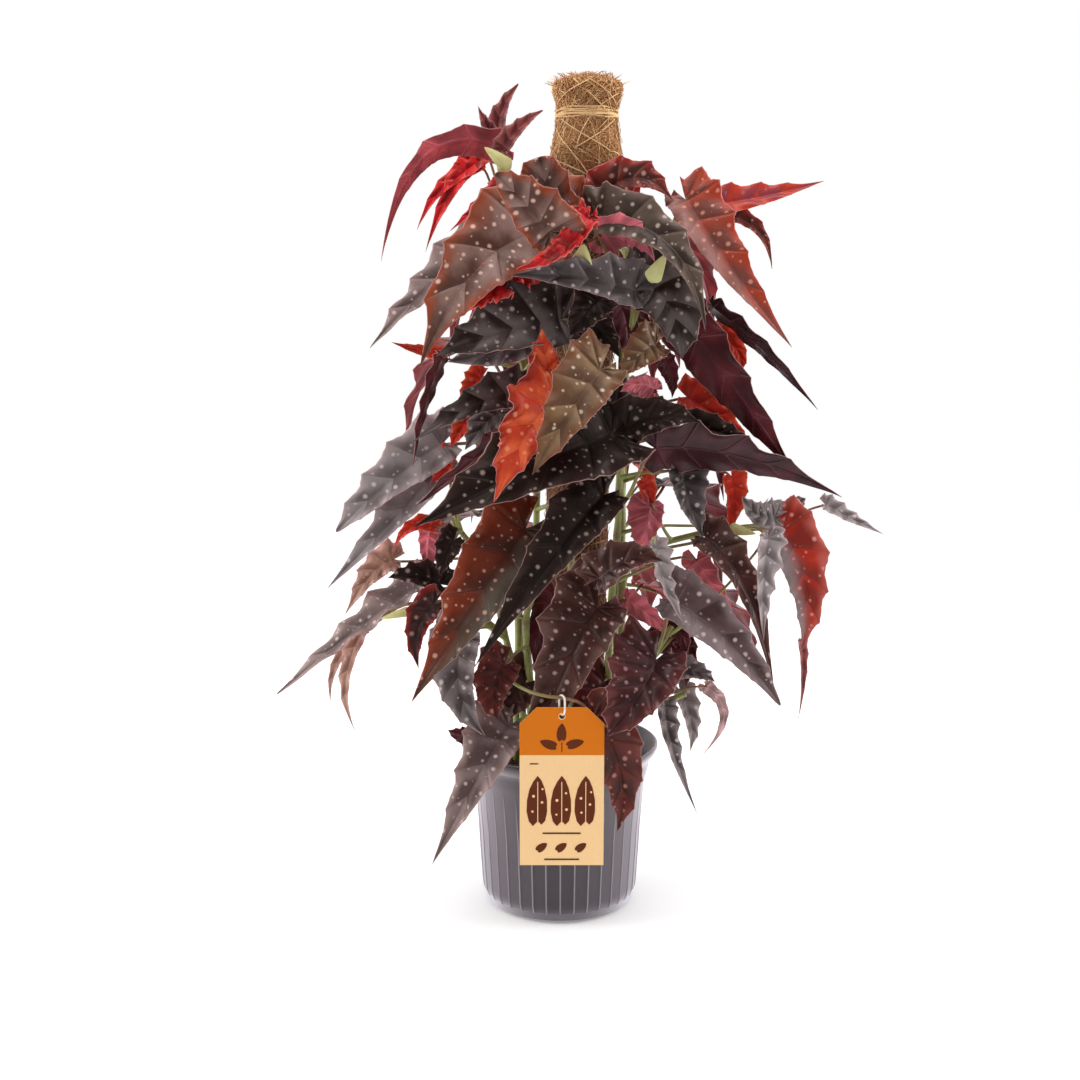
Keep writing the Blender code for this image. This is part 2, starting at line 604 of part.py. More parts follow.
def thick_shell(leaf):
    """Vertices and triangles of the blade with room on both sides, for testing what it crosses."""
    vertices, faces = blade_surface(leaf)
    normals = [Vector() for _ in vertices]
    for face in faces:
        a, b, c = (vertices[i] for i in face)
        normal = (b - a).cross(c - a)
        for i in face:
            normals[i] += normal
    half = BLADE / 2 + ROOM
    shift = [n.normalized() * half if n.length > 0 else Vector() for n in normals]
    count = len(vertices)
    both = [v + s for v, s in zip(vertices, shift)] + [v - s for v, s in zip(vertices, shift)]
    return both, faces + [tuple(i + count for i in face) for face in faces]


class Obstacles:
    """What a new leaf must clear: for each node, the shells already placed."""

    def __init__(self):
        self.shells = {}

    def add(self, node, vertices, faces):
        """Add a shell to a node."""
        self.shells.setdefault(node, []).append(BVHTree.FromPolygons([tuple(v) for v in vertices], faces))

    def crossed(self, vertices, faces, skip=()):
        """How many placed shells a shell crosses, as a dict by node."""
        tree = BVHTree.FromPolygons([tuple(v) for v in vertices], faces)
        found = {}
        for node, shells in self.shells.items():
            hits = sum(1 for shell in shells if node not in skip and shell.overlap(tree))
            if hits:
                found[node] = hits
        return found


class Cane:
    """A cane with its strands, and the places where leaves may leave it."""

    def __init__(self, name, foot, ways):
        self.name = name
        x, y = foot
        surface = Vector((x, y, SOIL_TOP + 0.010))
        strands = [[surface, *(seen(place) for place in ways[0])]]
        strands += [[seen(place) for place in way] for way in ways[1:] if way]
        self.curves = [smooth_way(strand, CANE_STEPS) for strand in strands]
        self.curves[0].insert(0, Vector((x, y, SOIL_TOP - STEM_DEPTH)))
        self.leaves = []

    def roots(self):
        """Points on the cane's axis about a node's length apart, above the soil."""
        found = []
        for way in self.curves:
            for a, b in zip(way, way[1:]):
                count = max(1, round((b - a).length / NODE_SPACING))
                found += [a.lerp(b, (k + 0.5) / count) for k in range(count)]
        return [root for root in found if root.z > SOIL_TOP + 0.03]

    def nearest_root(self, place):
        """The root nearest to a point."""
        return min(self.roots(), key=lambda root: (root - place).length)

    def best_root(self, leaf):
        """The root that gives this leaf the most natural petiole, and how unnatural that is."""
        def strain(root):
            reach = leaf.base - root
            wanted = 0.030 + 0.25 * leaf.length
            drop = max(0.0, -reach.z)
            return abs(reach.length - wanted) + 0.8 * drop
        root = min(self.roots(), key=strain)
        return root, strain(root)


def back_leaf(i, draw):
    """A leaf on the far side of the pole: outwards, arching over and down."""
    share = (i + 0.5) / BACK_LEAVES
    height = BACK_LOW + (BACK_HIGH - BACK_LOW) * ((i * 7) % BACK_LEAVES + 0.5) / BACK_LEAVES
    turn = math.radians(18 + 144 * share + draw.uniform(-6, 6))
    outward = Vector((math.cos(turn), math.sin(turn), 0.0))
    length = draw.uniform(0.125, 0.175) * (1.15 - 0.35 * height)
    start = Vector((pole_axis(height), 0.0, height)) + outward * draw.uniform(0.095, 0.125)
    drop = draw.uniform(0.5, 0.85)
    middle = start + outward * (0.34 * length) + Vector((0, 0, -0.25 * drop * length))
    tip = start + outward * (0.55 * length) + Vector((0, 0, -drop * length))
    facing = (outward + Vector((0, 0, 0.6))).normalized()
    return Leaf(f"back_{i + 1:02d}", start, middle, tip, length * draw.uniform(0.40, 0.50), 0, 0, facing)


def front_leaf(name, base, middle, tip, width, roll, twist):
    """A leaf of the list; the nearer it is to the front, the further forward its tip hangs."""
    length = math.dist(base, middle) + math.dist(middle, tip)
    share = base[2] / math.hypot(base[0] - POLE_X / MM, base[2])
    reach = 0.0 if name in HANGS_CLOSE else REACH_FORWARD * share * length
    middle = (middle[0], middle[1], middle[2] + reach / 2)
    tip = (tip[0], tip[1], tip[2] + reach)
    places = [seen(place) for place in (base, middle, tip)]
    return Leaf(name, *places, width * MM, roll, twist, (EYE - places[1]).normalized())


def all_leaves():
    """Every leaf, front ones from the list and back ones by rule."""
    leaves = [front_leaf(*row) for row in LEAVES]
    draw = random.Random(BACK_SEED)
    leaves += [back_leaf(i, draw) for i in range(BACK_LEAVES)]
    return leaves


def shifts():
    """Moves to try, the smallest first."""
    yield 0.0
    for k in range(1, MOVES + 1):
        yield k * MOVE_STEP
        yield -k * MOVE_STEP


def place_leaf(leaf, canes, obstacles):
    """Move the leaf along its sight line, and pick its cane, so that it crosses no other node."""
    carrier = leaf.name == TAG_CARRIER
    away = (EYE - leaf.base).normalized()
    if leaf.name.startswith("back"):
        away = Vector((leaf.base.x - POLE_X, leaf.base.y, 0.0)).normalized()
    ranked = sorted(canes, key=lambda cane: cane.best_root(leaf)[1])[:4]
    if carrier:
        ranked = [cane for cane in canes if cane.name == TAG_CANE]
    best = None
    for order, cane in enumerate(ranked):
        for step, move in enumerate((0.0,) if carrier else shifts()):
            if best and best[0][0] == 0 and order * CANE_COST + step > best[0][1]:
                break
            trial = leaf.moved(away * move)
            root = cane.nearest_root(seen(TAG_PETIOLE[0])) if carrier else cane.best_root(trial)[0]
            way = petiole_way(trial, root, TAG_PETIOLE if carrier else None)
            blade = thick_shell(trial)
            stalk = tube_shell(way, PETIOLE_RADIUS + GAP / 2)
            touched = obstacles.crossed(*blade)
            stalk_touched = obstacles.crossed(*stalk)
            own = touched.pop(cane.name, 0) + max(0, stalk_touched.pop(cane.name, 0) - 1)
            strange = sum(touched.values()) + sum(stalk_touched.values())
            cost = (strange, own * OWN_COST + order * CANE_COST + step, cane.best_root(trial)[1])
            if best is None or cost < best[0]:
                best = (cost, cane, trial, way, blade, stalk)
    cost, cane, trial, way, blade, stalk = best
    obstacles.add(cane.name, *blade)
    obstacles.add(cane.name, *stalk)
    cane.leaves.append((trial, way))
    return cost


def evaluated_polygons(thing):
    """Vertices and faces of an object as it shows, in world space."""
    bpy.context.view_layer.update()
    evaluated = thing.evaluated_get(bpy.context.evaluated_depsgraph_get())
    mesh = evaluated.to_mesh()
    vertices = [thing.matrix_world @ v.co for v in mesh.vertices]
    faces = [tuple(p.vertices) for p in mesh.polygons]
    evaluated.to_mesh_clear()
    return vertices, faces


def cane_radii(way):
    """The cane's radius along a strand, thinner towards its end."""
    last = len(way) - 1
    return [CANE_RADIUS + (CANE_TIP_RADIUS - CANE_RADIUS) * (k / last) for k in range(last + 1)]


def make_leafy_cane(cane, parts, collection):
    """One leafy cane: its strands, petioles and blades joined into one solid."""
    pieces = []
    for k, way in enumerate(cane.curves):
        pieces.append(as_mesh(tube(f"{cane.name}_strand_{k}", way, cane_radii(way), CANE_SIDES, parts), parts))
    for leaf, way in cane.leaves:
        radii = [PETIOLE_RADIUS] * len(way)
        pieces.append(as_mesh(tube(leaf.name + "_petiole", way, radii, 4, parts), parts))
        pieces.append(make_blade(leaf, parts))
    main, others = pieces[0], pieces[1:]
    repeats = bpy.data.collections.new(cane.name + "_repeats")
    for piece in others:
        repeats.objects.link(piece)
    join = main.modifiers.new("Join", "BOOLEAN")
    join.operation = "UNION"
    join.operand_type = "COLLECTION"
    join.collection = repeats
    join.solver = "EXACT"
    joined = as_mesh(main, collection, weld=False)
    joined.name = cane.name
    for piece in others:
        bpy.data.objects.remove(piece, do_unlink=True)
    bpy.data.collections.remove(repeats)
    joined.data.materials.clear()
    joined.data.materials.append(material(cane.name, "leafy"))
    return joined


def main():
    """Build the whole object."""
    clear_scene()
    plant = new_collection("potted_begonia")
    cutters = new_collection("cutters")
    parts = new_collection("parts_to_join")
    canes = [Cane(name, foot, ways) for name, foot, *ways in CANES]
    obstacles = Obstacles()
    for thing in (make_pot(plant), make_soil(plant, cutters), make_pole(plant), make_tie(plant),
                  make_tag(plant), make_loop(plant)):
        obstacles.add(thing.name, *evaluated_polygons(thing))
    for cane in canes:
        for way in cane.curves:
            obstacles.add(cane.name, *tube_shell(way[1:], CANE_RADIUS + GAP))
    for leaf in all_leaves():
        cost = place_leaf(leaf, canes, obstacles)
        if cost[0]:
            print("not clear:", leaf.name, cost)
    for cane in canes:
        make_leafy_cane(cane, parts, plant)
    bpy.data.collections.remove(parts)


main()
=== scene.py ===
"""Looks of the potted begonia: spotted angel-wing leaves, canes, coir pole, ribbed pot, soil and care tag.

Metres, +Z up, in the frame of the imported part. The front is -Y.
"""
import math
import random

import bmesh
import bpy
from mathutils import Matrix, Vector, noise
from mathutils.bvhtree import BVHTree


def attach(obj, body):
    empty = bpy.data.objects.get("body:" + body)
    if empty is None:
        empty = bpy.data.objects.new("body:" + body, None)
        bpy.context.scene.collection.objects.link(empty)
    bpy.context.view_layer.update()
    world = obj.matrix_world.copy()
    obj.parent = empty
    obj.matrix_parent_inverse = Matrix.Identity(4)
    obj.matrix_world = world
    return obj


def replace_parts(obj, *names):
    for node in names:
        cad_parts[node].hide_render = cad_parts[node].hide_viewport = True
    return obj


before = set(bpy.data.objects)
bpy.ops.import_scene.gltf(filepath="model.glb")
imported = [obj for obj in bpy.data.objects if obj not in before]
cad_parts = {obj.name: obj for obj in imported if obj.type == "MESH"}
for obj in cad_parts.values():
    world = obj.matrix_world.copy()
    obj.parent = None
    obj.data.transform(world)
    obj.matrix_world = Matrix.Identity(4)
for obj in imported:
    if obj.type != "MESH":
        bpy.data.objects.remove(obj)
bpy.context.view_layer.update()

MM = 0.001
GAP = 0.0003

# Pot, soil and pole, as the solids have them
POT_SIDES = 36
POT_WALL = 0.0020
FOOT_RADIUS, FOOT_ROUNDING = 0.0575, 0.0215
POT_OUTSIDE = (
    (0.0985, 0.1670), (0.0998, 0.1659), (0.1000, 0.1647), (0.0998, 0.1625), (0.0970, 0.1575),
    (0.0940, 0.1540), (0.0925, 0.1520), (0.0912, 0.1468), (0.0905, 0.1410), (0.0889, 0.1345),
    (0.0866, 0.1260), (0.0825, 0.0810),
)
SOIL_TOP = 0.143
SOIL_CROWN = 0.003
STEM_DEPTH = 0.028
POLE_X, POLE_TOP_X = 0.012, 0.0255
POLE_OUTLINE = (
    (0.160, 0.0300), (0.300, 0.0310), (0.460, 0.0300), (0.620, 0.0312), (0.715, 0.0322),
    (0.753, 0.0328), (0.777, 0.0285), (0.795, 0.0285), (0.807, 0.0325), (0.817, 0.0335), (0.823, 0.0300),
)
TIE_HEIGHT = 0.786

# Front view that leaf places are read from: one unit is 1 mm where the sight line meets the pole
EYE = Vector((-0.020, -1.550, 0.644))
AIM = Vector((-0.020, 0.0, 0.374))
AIM_UP = 0.382
SIGHT = (AIM - EYE).normalized()
RIGHT = Vector((1.0, 0.0, 0.0))
UP = RIGHT.cross(SIGHT)
VIEW_WIDTH = 1.080

# Care tag and its loop
TAG_FRONT = 138
TAG_WIDTH, TAG_HEIGHT, TAG_CHAMFER, TAG_THICKNESS = 0.079, 0.154, 0.016, 0.0008
TAG_HOLE, TAG_HOLE_DROP = 0.0026, 0.0085
TAG_HEAD = 0.046
LOOP_WIRE, LOOP_HALF_WIDTH, LOOP_TURN = 0.0006, 0.0040, 40
LOOP_STRAP, LOOP_STEPS = 0.0010, 40
LOOP_COLOUR = (226, 218, 206)
PETIOLE_RADIUS = 0.0016
PETIOLE_STEPS = 2
JOINT_SHARE, JOINT_LEAST = 0.08, 0.005

# Leaf outline: where each side vein leaves the midrib, then its angle to it and its reach in leaf widths
VEIN_STARTS = (0.00, 0.00, 0.01, 0.16, 0.38, 0.61, 1.00)
WIDE_SIDE = ((168, 0.42), (128, 0.60), (90, 0.60), (62, 0.60), (46, 0.51), (33, 0.38), (20, 0.00))
NARROW_SIDE = ((148, 0.24), (112, 0.36), (80, 0.41), (58, 0.45), (44, 0.42), (32, 0.33), (20, 0.00))
VEINS = len(VEIN_STARTS)
TOOTH_DIP, TOOTH_CURVE = 0.13, 0.8
RUFFLE = 0.075
FOLD = 14
BLADE = 0.0008
SMALL_LEAF = 0.128

# Both sides by their hand, 1 for the wide one: the angles of the veins, and their reaches
SIDES = {1: tuple(zip(*WIDE_SIDE)), -1: tuple(zip(*NARROW_SIDE))}

# Canes: where each stands in the soil (metres), then its way up in the front view (across, up, front)
CANES = (
    ("cane_front_left", (-0.034, -0.034), ((-40, 235, 44), (-52, 275, 50), (-72, 350, 48), (-108, 402, 38)),
     ((-54, 285, 50), (-105, 318, 46), (-150, 314, 42))),
    ("cane_front_middle_left", (-0.020, -0.050), ((-34, 290, 60), (-26, 340, 56), (-24, 460, 50),
                                                  (-38, 562, 50)), ()),
    ("cane_front", (0.014, -0.056), ((10, 300, 62), (14, 450, 62), (16, 612, 64)), ()),
    ("cane_front_right", (0.048, -0.040), ((50, 300, 46), (58, 400, 46), (62, 520, 50), (78, 640, 46)), ()),
    ("cane_top_left", (-0.044, 0.004), ((-40, 400, -2), (-36, 600, 4), (-62, 765, 12)), ()),
    ("cane_top_right", (0.064, 0.022), ((62, 400, -16), (64, 600, -4), (98, 684, 12), (150, 708, 24)), ()),
    ("cane_right", (0.066, -0.018), ((62, 300, 22), (72, 360, 28), (130, 386, 36), (222, 396, 50)), ()),
    ("cane_low_right", (0.040, -0.060), ((66, 215, 72), (84, 250, 74), (112, 296, 66)),
     ((76, 228, 74), (102, 221, 82), (126, 228, 84))),
    ("cane_back_left", (-0.026, 0.044), ((-44, 350, -48), (-42, 520, -58), (-34, 680, -56)), ()),
    ("cane_back_right", (0.050, 0.050), ((58, 350, -54), (66, 520, -62), (66, 680, -56)), ()),
)
CANE_RADIUS = 0.0044
CANE_TIP_RADIUS = 0.0028
CANE_STEPS = 2
NODE_SPACING = 0.030

# Leaves in the front view: base, middle and tip of the midrib (across, up, front), width, roll, twist, look
LEAVES = (
    ("under_tag", (34, 204, 122), (60, 146, 116), (57, 90, 112), 58, 0, 0, "maroon_brown"),
    ("front_middle", (37, 314, 104), (2, 246, 120), (-42, 135, 114), 78, 8, 0, "dark_brown"),
    ("front_left_brown", (-35, 392, 122), (-90, 312, 130), (-149, 219, 120), 76, 6, 0, "bronze"),
    ("large_black", (52, 487, 100), (-34, 452, 116), (-145, 395, 104), 108, 24, 0, "black"),
    ("orange_fan", (-4, 527, 122), (-34, 486, 134), (-66, 420, 132), 66, 0, 0, "orange"),
    ("tan_lobed", (40, 552, 116), (8, 506, 128), (-27, 448, 126), 62, 6, 0, "tan"),
    ("broad_grey_left", (0, 602, 96), (-62, 590, 108), (-124, 566, 100), 74, 20, 0, "black_grey"),
    ("big_top_brown", (-7, 692, 78), (-80, 656, 98), (-140, 555, 102), 98, 12, 0, "brown_grey"),
    ("young_crinkled", (28, 704, 124), (-4, 669, 134), (-50, 651, 128), 28, 10, 0, "young_red"),
    ("grey_centre", (74, 632, 96), (14, 645, 112), (-52, 646, 116), 48, 20, 0, "grey_dark"),
    ("arched_top_right", (41, 705, 78), (112, 674, 100), (146, 588, 108), 52, 22, 0, "green_grey"),
    ("orange_top_right", (126, 722, 52), (170, 656, 68), (231, 576, 72), 56, 22, 0, "orange_brown"),
    ("maroon_right_big", (120, 612, 58), (178, 528, 68), (240, 440, 66), 60, 165, 0, "maroon"),
    ("purple_right", (95, 474, 78), (184, 464, 80), (281, 425, 66), 66, 140, 0, "purple"),
    ("grey_two_lobed_upper", (-118, 478, 58), (-180, 432, 72), (-229, 384, 66), 58, 20, 0, "pale_grey"),
    ("grey_two_lobed_lower", (-116, 458, 66), (-172, 398, 82), (-234, 332, 76), 48, 24, 0, "pale_grey"),
    ("long_grey_left", (-145, 334, 40), (-216, 282, 46), (-293, 219, 36), 54, 58, 0, "grey_brown"),
    ("right_brown_low", (114, 322, 86), (175, 274, 100), (226, 207, 94), 56, 14, 0, "brown_grey_dark"),
    ("right_dark_narrow", (146, 384, 72), (186, 332, 86), (214, 232, 78), 44, 30, 0, "dark_brown"),
    ("right_red", (223, 392, 56), (246, 334, 66), (241, 270, 64), 56, 0, 0, "red_half"),
    ("top_left_arched", (-59, 776, 22), (-136, 764, 34), (-178, 661, 44), 36, 160, 0, "rosy"),
    ("top_left_red", (-74, 768, 8), (-108, 732, 20), (-135, 669, 26), 28, 24, 0, "young_red"),
    ("grey_upper_left", (-70, 687, 26), (-136, 630, 40), (-190, 574, 40), 56, 48, 0, "grey_brown"),
    ("top_right_long_red", (146, 716, 24), (205, 726, 20), (264, 741, 12), 34, 26, 0, "long_red"),
    ("top_right_narrow", (163, 706, 20), (197, 693, 22), (212, 653, 22), 22, 30, 0, "brown_red"),
    ("top_right_curled", (46, 730, 44), (80, 744, 52), (112, 722, 56), 42, 20, 0, "brown_red"),
    ("pink_under_top", (40, 687, 84), (72, 690, 92), (95, 660, 94), 40, 160, 0, "pink"),
    ("dark_upper_right", (84, 640, 92), (112, 612, 104), (122, 562, 106), 72, 4, 0, "black_grey"),
    ("twisted_right", (152, 616, 44), (207, 568, 50), (258, 512, 48), 30, 122, 30, "purple"),
    ("orange_mid_right", (128, 524, 46), (162, 500, 50), (197, 467, 50), 38, 16, 0, "red_orange"),
    ("small_dark_right", (134, 494, 88), (166, 487, 94), (194, 474, 94), 32, 16, 0, "black"),
    ("grey_far_right", (266, 417, 42), (294, 402, 42), (323, 388, 38), 20, 38, 0, "pale_grey"),
    ("grey_folded_right", (124, 450, 66), (130, 420, 74), (143, 384, 72), 40, 16, 0, "grey_dark"),
    ("red_strip_right", (172, 444, 26), (174, 416, 30), (163, 382, 30), 26, 0, 0, "red_orange"),
    ("pink_hanging_middle", (90, 416, 46), (86, 390, 52), (80, 360, 52), 38, 178, 0, "pink"),
    ("grey_cluster_left", (214, 404, 56), (196, 408, 62), (182, 426, 62), 32, 20, 0, "grey"),
    ("grey_cluster_right", (222, 400, 44), (234, 414, 46), (246, 424, 44), 28, 20, 0, "grey"),
    ("grey_hanging_right", (208, 384, 44), (203, 334, 50), (204, 285, 48), 30, 36, 0, "pale_grey"),
    ("pale_curl_right", (95, 374, 62), (105, 337, 70), (125, 297, 70), 32, 52, 0, "pale_grey"),
    ("pink_behind_right", (137, 362, 40), (156, 331, 46), (176, 297, 46), 34, 152, 0, "pink"),
    ("dark_mid_right", (40, 344, 92), (70, 362, 98), (102, 360, 96), 44, 28, 0, "dark_brown"),
    ("big_dark_low_right", (96, 262, 96), (79, 229, 110), (48, 186, 116), 78, 4, 0, "maroon"),
    ("maroon_low_right", (98, 284, 66), (118, 290, 70), (127, 266, 70), 34, 168, 0, "maroon"),
    ("crumpled_right_top", (114, 252, 74), (136, 250, 80), (155, 240, 80), 28, 20, 0, "grey"),
    ("crumpled_right_outer", (146, 236, 72), (164, 206, 78), (142, 167, 76), 17, 150, 20, "pale_curled"),
    ("crumpled_right_inner", (120, 232, 78), (131, 200, 84), (130, 170, 84), 26, 30, 0, "pale_grey"),
    ("narrow_low_right", (104, 216, 92), (114, 168, 104), (137, 109, 100), 24, 34, 0, "grey"),
    ("thin_hanging_two", (-196, 292, 34), (-214, 240, 40), (-205, 192, 40), 24, 44, 0, "pale_brown"),
    ("curled_brown_left", (-168, 362, 26), (-190, 346, 32), (-215, 307, 30), 34, 16, 0, "pale_brown"),
    ("small_dark_left", (-120, 338, 56), (-146, 346, 62), (-172, 344, 60), 34, 28, 0, "black"),
    ("red_edged_left", (-126, 318, 62), (-143, 291, 70), (-141, 254, 70), 32, 6, 0, "dark_red_edge"),
    ("grey_hanging_left", (-98, 284, 96), (-100, 232, 106), (-74, 185, 108), 52, 12, 0, "grey"),
    ("maroon_low_left", (-56, 256, 76), (-66, 230, 84), (-62, 204, 88), 44, 4, 0, "maroon_brown"),
    ("low_left_long", (-52, 196, 98), (-84, 142, 112), (-128, 57, 100), 60, 14, 0, "grey_brown"),
    ("red_tip_left", (-118, 566, 36), (-144, 572, 40), (-169, 580, 38), 16, 20, 0, "red_orange"),
    ("grey_mid_left", (-40, 529, 86), (-88, 516, 94), (-147, 480, 86), 44, 24, 0, "black_grey"),
    ("maroon_strip_left", (-118, 564, 84), (-136, 512, 92), (-147, 455, 90), 24, 128, 0, "maroon"),
    ("maroon_slant_left", (-48, 492, 80), (-96, 454, 88), (-147, 414, 84), 36, 134, 0, "maroon"),
    ("dark_behind_black", (44, 427, 92), (-14, 358, 102), (-83, 258, 102), 62, 10, 0, "black"),
    ("dark_centre", (40, 622, 96), (26, 608, 104), (10, 586, 104), 42, 0, 0, "black"),
    ("brown_curled", (95, 577, 88), (80, 566, 96), (62, 547, 96), 40, 10, 0, "tan"),
    ("maroon_centre", (70, 617, 86), (82, 598, 92), (80, 576, 92), 30, 170, 0, "maroon"),
    ("red_young_upper", (-25, 626, 60), (-56, 630, 68), (-92, 600, 66), 42, 26, 0, "young_red"),
    ("black_lobe", (50, 486, 96), (98, 505, 98), (141, 499, 96), 50, 10, 0, "black"),
    ("antler_inner", (-61, 780, 24), (-58, 812, 26), (-38, 842, 20), 24, 20, 0, "rosy"),
    ("antler_outer", (-56, 775, 28), (-38, 797, 30), (-14, 813, 24), 20, 20, 0, "rosy"),
    ("orange_crown", (-6, 531, 120), (-14, 560, 128), (-18, 594, 122), 44, 0, 0, "orange"),
    ("top_crown", (-8, 694, 76), (-13, 732, 82), (-22, 770, 76), 76, 0, 0, "brown_grey"),
    ("top_crown_left", (-10, 690, 90), (-38, 722, 98), (-66, 750, 92), 54, 0, 0, "brown_grey"),
)

# Small leaves and scraps that only the looks have
SMALL_LEAVES = (
    ("top_left_red_small", (-80, 757, 2), (-118, 733, 8), (-143, 692, 10), 22, 30, 0, "young_red"),
    ("orange_scrap_right", (160, 588, 30), (178, 570, 34), (180, 548, 34), 24, 10, 0, "red_orange"),
    ("orange_scrap_middle", (84, 440, 34), (88, 424, 36), (84, 406, 36), 20, 0, 0, "red_orange"),
    ("maroon_scrap_left", (-80, 188, 78), (-96, 187, 84), (-112, 192, 84), 26, 160, 0, "maroon"),
    ("red_scrap_upper", (-78, 545, 54), (-88, 536, 58), (-100, 524, 58), 26, 10, 0, "red_orange"),
    ("orange_scrap_left", (-110, 468, 62), (-120, 446, 64), (-135, 422, 62), 20, 12, 0, "red_orange"),
    ("dark_scrap_left", (-106, 382, 78), (-114, 366, 82), (-120, 346, 80), 28, 4, 0, "black"),
    ("pink_scrap_centre", (95, 532, 80), (78, 538, 84), (60, 530, 84), 26, 178, 0, "pink"),
    ("maroon_strip_centre", (105, 564, 52), (112, 544, 56), (112, 524, 56), 22, 160, 0, "maroon"),
    ("orange_curl_left", (-128, 396, 50), (-150, 394, 54), (-167, 372, 52), 20, 24, 0, "red_orange"),
    ("red_scrap_lower", (-84, 512, 74), (-98, 494, 78), (-110, 474, 78), 26, 10, 0, "red_orange"),
    ("grey_scrap_left", (-60, 510, 72), (-76, 496, 78), (-95, 472, 76), 38, 18, 0, "grey"),
    ("pink_scrap_left", (-130, 392, 44), (-132, 372, 48), (-132, 347, 48), 28, 178, 0, "pink"),
    ("pink_low_right", (66, 322, 48), (90, 306, 54), (112, 284, 54), 32, 150, 0, "pink"),
    ("red_tail_right", (241, 282, 60), (243, 244, 60), (238, 202, 56), 11, 30, 0, "rosy"),
    ("thin_hanging_one", (-206, 284, 30), (-226, 252, 34), (-229, 219, 32), 14, 20, 0, "pale_brown"),
    ("red_young_lower", (-34, 612, 56), (-58, 616, 60), (-84, 602, 60), 34, 150, 0, "young_red"),
    ("red_behind_top", (-58, 738, 22), (-86, 712, 30), (-110, 691, 32), 18, 40, 0, "young_red"),
    ("red_young_left", (-46, 640, 104), (-74, 630, 116), (-98, 606, 114), 44, 20, 0, "young_red"),
    ("black_by_pole", (8, 604, 66), (36, 594, 74), (60, 564, 72), 46, 0, 0, "black"),
    ("maroon_by_pole", (58, 624, 40), (68, 590, 44), (66, 552, 44), 36, 170, 0, "maroon"),
    ("antler_left", (-60, 776, 26), (-73, 795, 28), (-82, 816, 26), 20, 20, 0, "rosy"),
    ("grey_below_broad", (-18, 590, 84), (-62, 572, 90), (-112, 560, 86), 62, 24, 0, "grey"),
    ("dark_low_left", (-36, 238, 62), (-56, 218, 68), (-76, 196, 68), 54, 10, 0, "dark_brown"),
    ("maroon_low_middle", (-6, 330, 40), (-20, 296, 46), (-26, 252, 46), 40, 170, 0, "maroon"),
    ("maroon_low_pole", (44, 240, 50), (30, 216, 58), (22, 186, 58), 44, 6, 0, "maroon_brown"),
    ("red_low_right", (120, 286, 54), (128, 262, 58), (126, 236, 58), 30, 168, 0, "maroon"),
)

# Scraps that are part of the leaf they touch, and have no petiole
STALKLESS = ("red_tail_right",)

# Leaves behind the pole, by rule
BACK_LEAVES = 17
BACK_SEED = 11
BACK_LOW, BACK_HIGH = 0.30, 0.74
BACK_LOOKS_UP = 0.6
YOUNG_LEAVES = 10
YOUNG_SEED = 3
BACK_KINDS = ("grey_dark", "dark_brown", "brown_grey_dark", "black_grey", "grey_brown", "maroon_brown")
YOUNG_KINDS = ("brown_red", "red_orange", "maroon_brown")

# How far forward of its base a front leaf's tip hangs, in leaf lengths, and the leaves that hang close
REACH_FORWARD = 0.30
HANGS_CLOSE = ("under_tag", "front_middle")

# The petiole that carries the tag: its cane, and its way in the front view
TAG_CARRIER = "under_tag"
TAG_CANE = "cane_front_left"
TAG_HANG = (2, 224, TAG_FRONT)
TAG_PETIOLE = ((-50, 244, 92), (-34, 232, 126), (-14, 226, TAG_FRONT), TAG_HANG, (20, 219, 134))
LOOP_DROP = 0.0175

# How far a leaf may be moved along the sight line, and the room it keeps to its neighbours
MOVE_STEP = 0.006
MOVES = 11
ROOM = 0.0012

# What a crossing on its own cane and a further cane cost a leaf, in steps, and how many canes it tries
OWN_COST, CANE_COST, NEAR_CANES = 12, 3, 4

# Fine blades: rows between two veins, columns from midrib to margin, and how they ripple
FINE_ROWS = 8
FINE_COLUMNS, COLUMN_CURVE = 9, 1.25
FINE_BLADE = 0.0006
FLAT_SHIFT = 0.31
WELD_DISTANCE, NO_LENGTH = 2e-5, 1e-6
SMALL_TEETH, TEETH_PER_VEIN = 0.042, 4
MARGIN_NOISE = 0.10
QUILT = 0.044
WAVE = 0.072

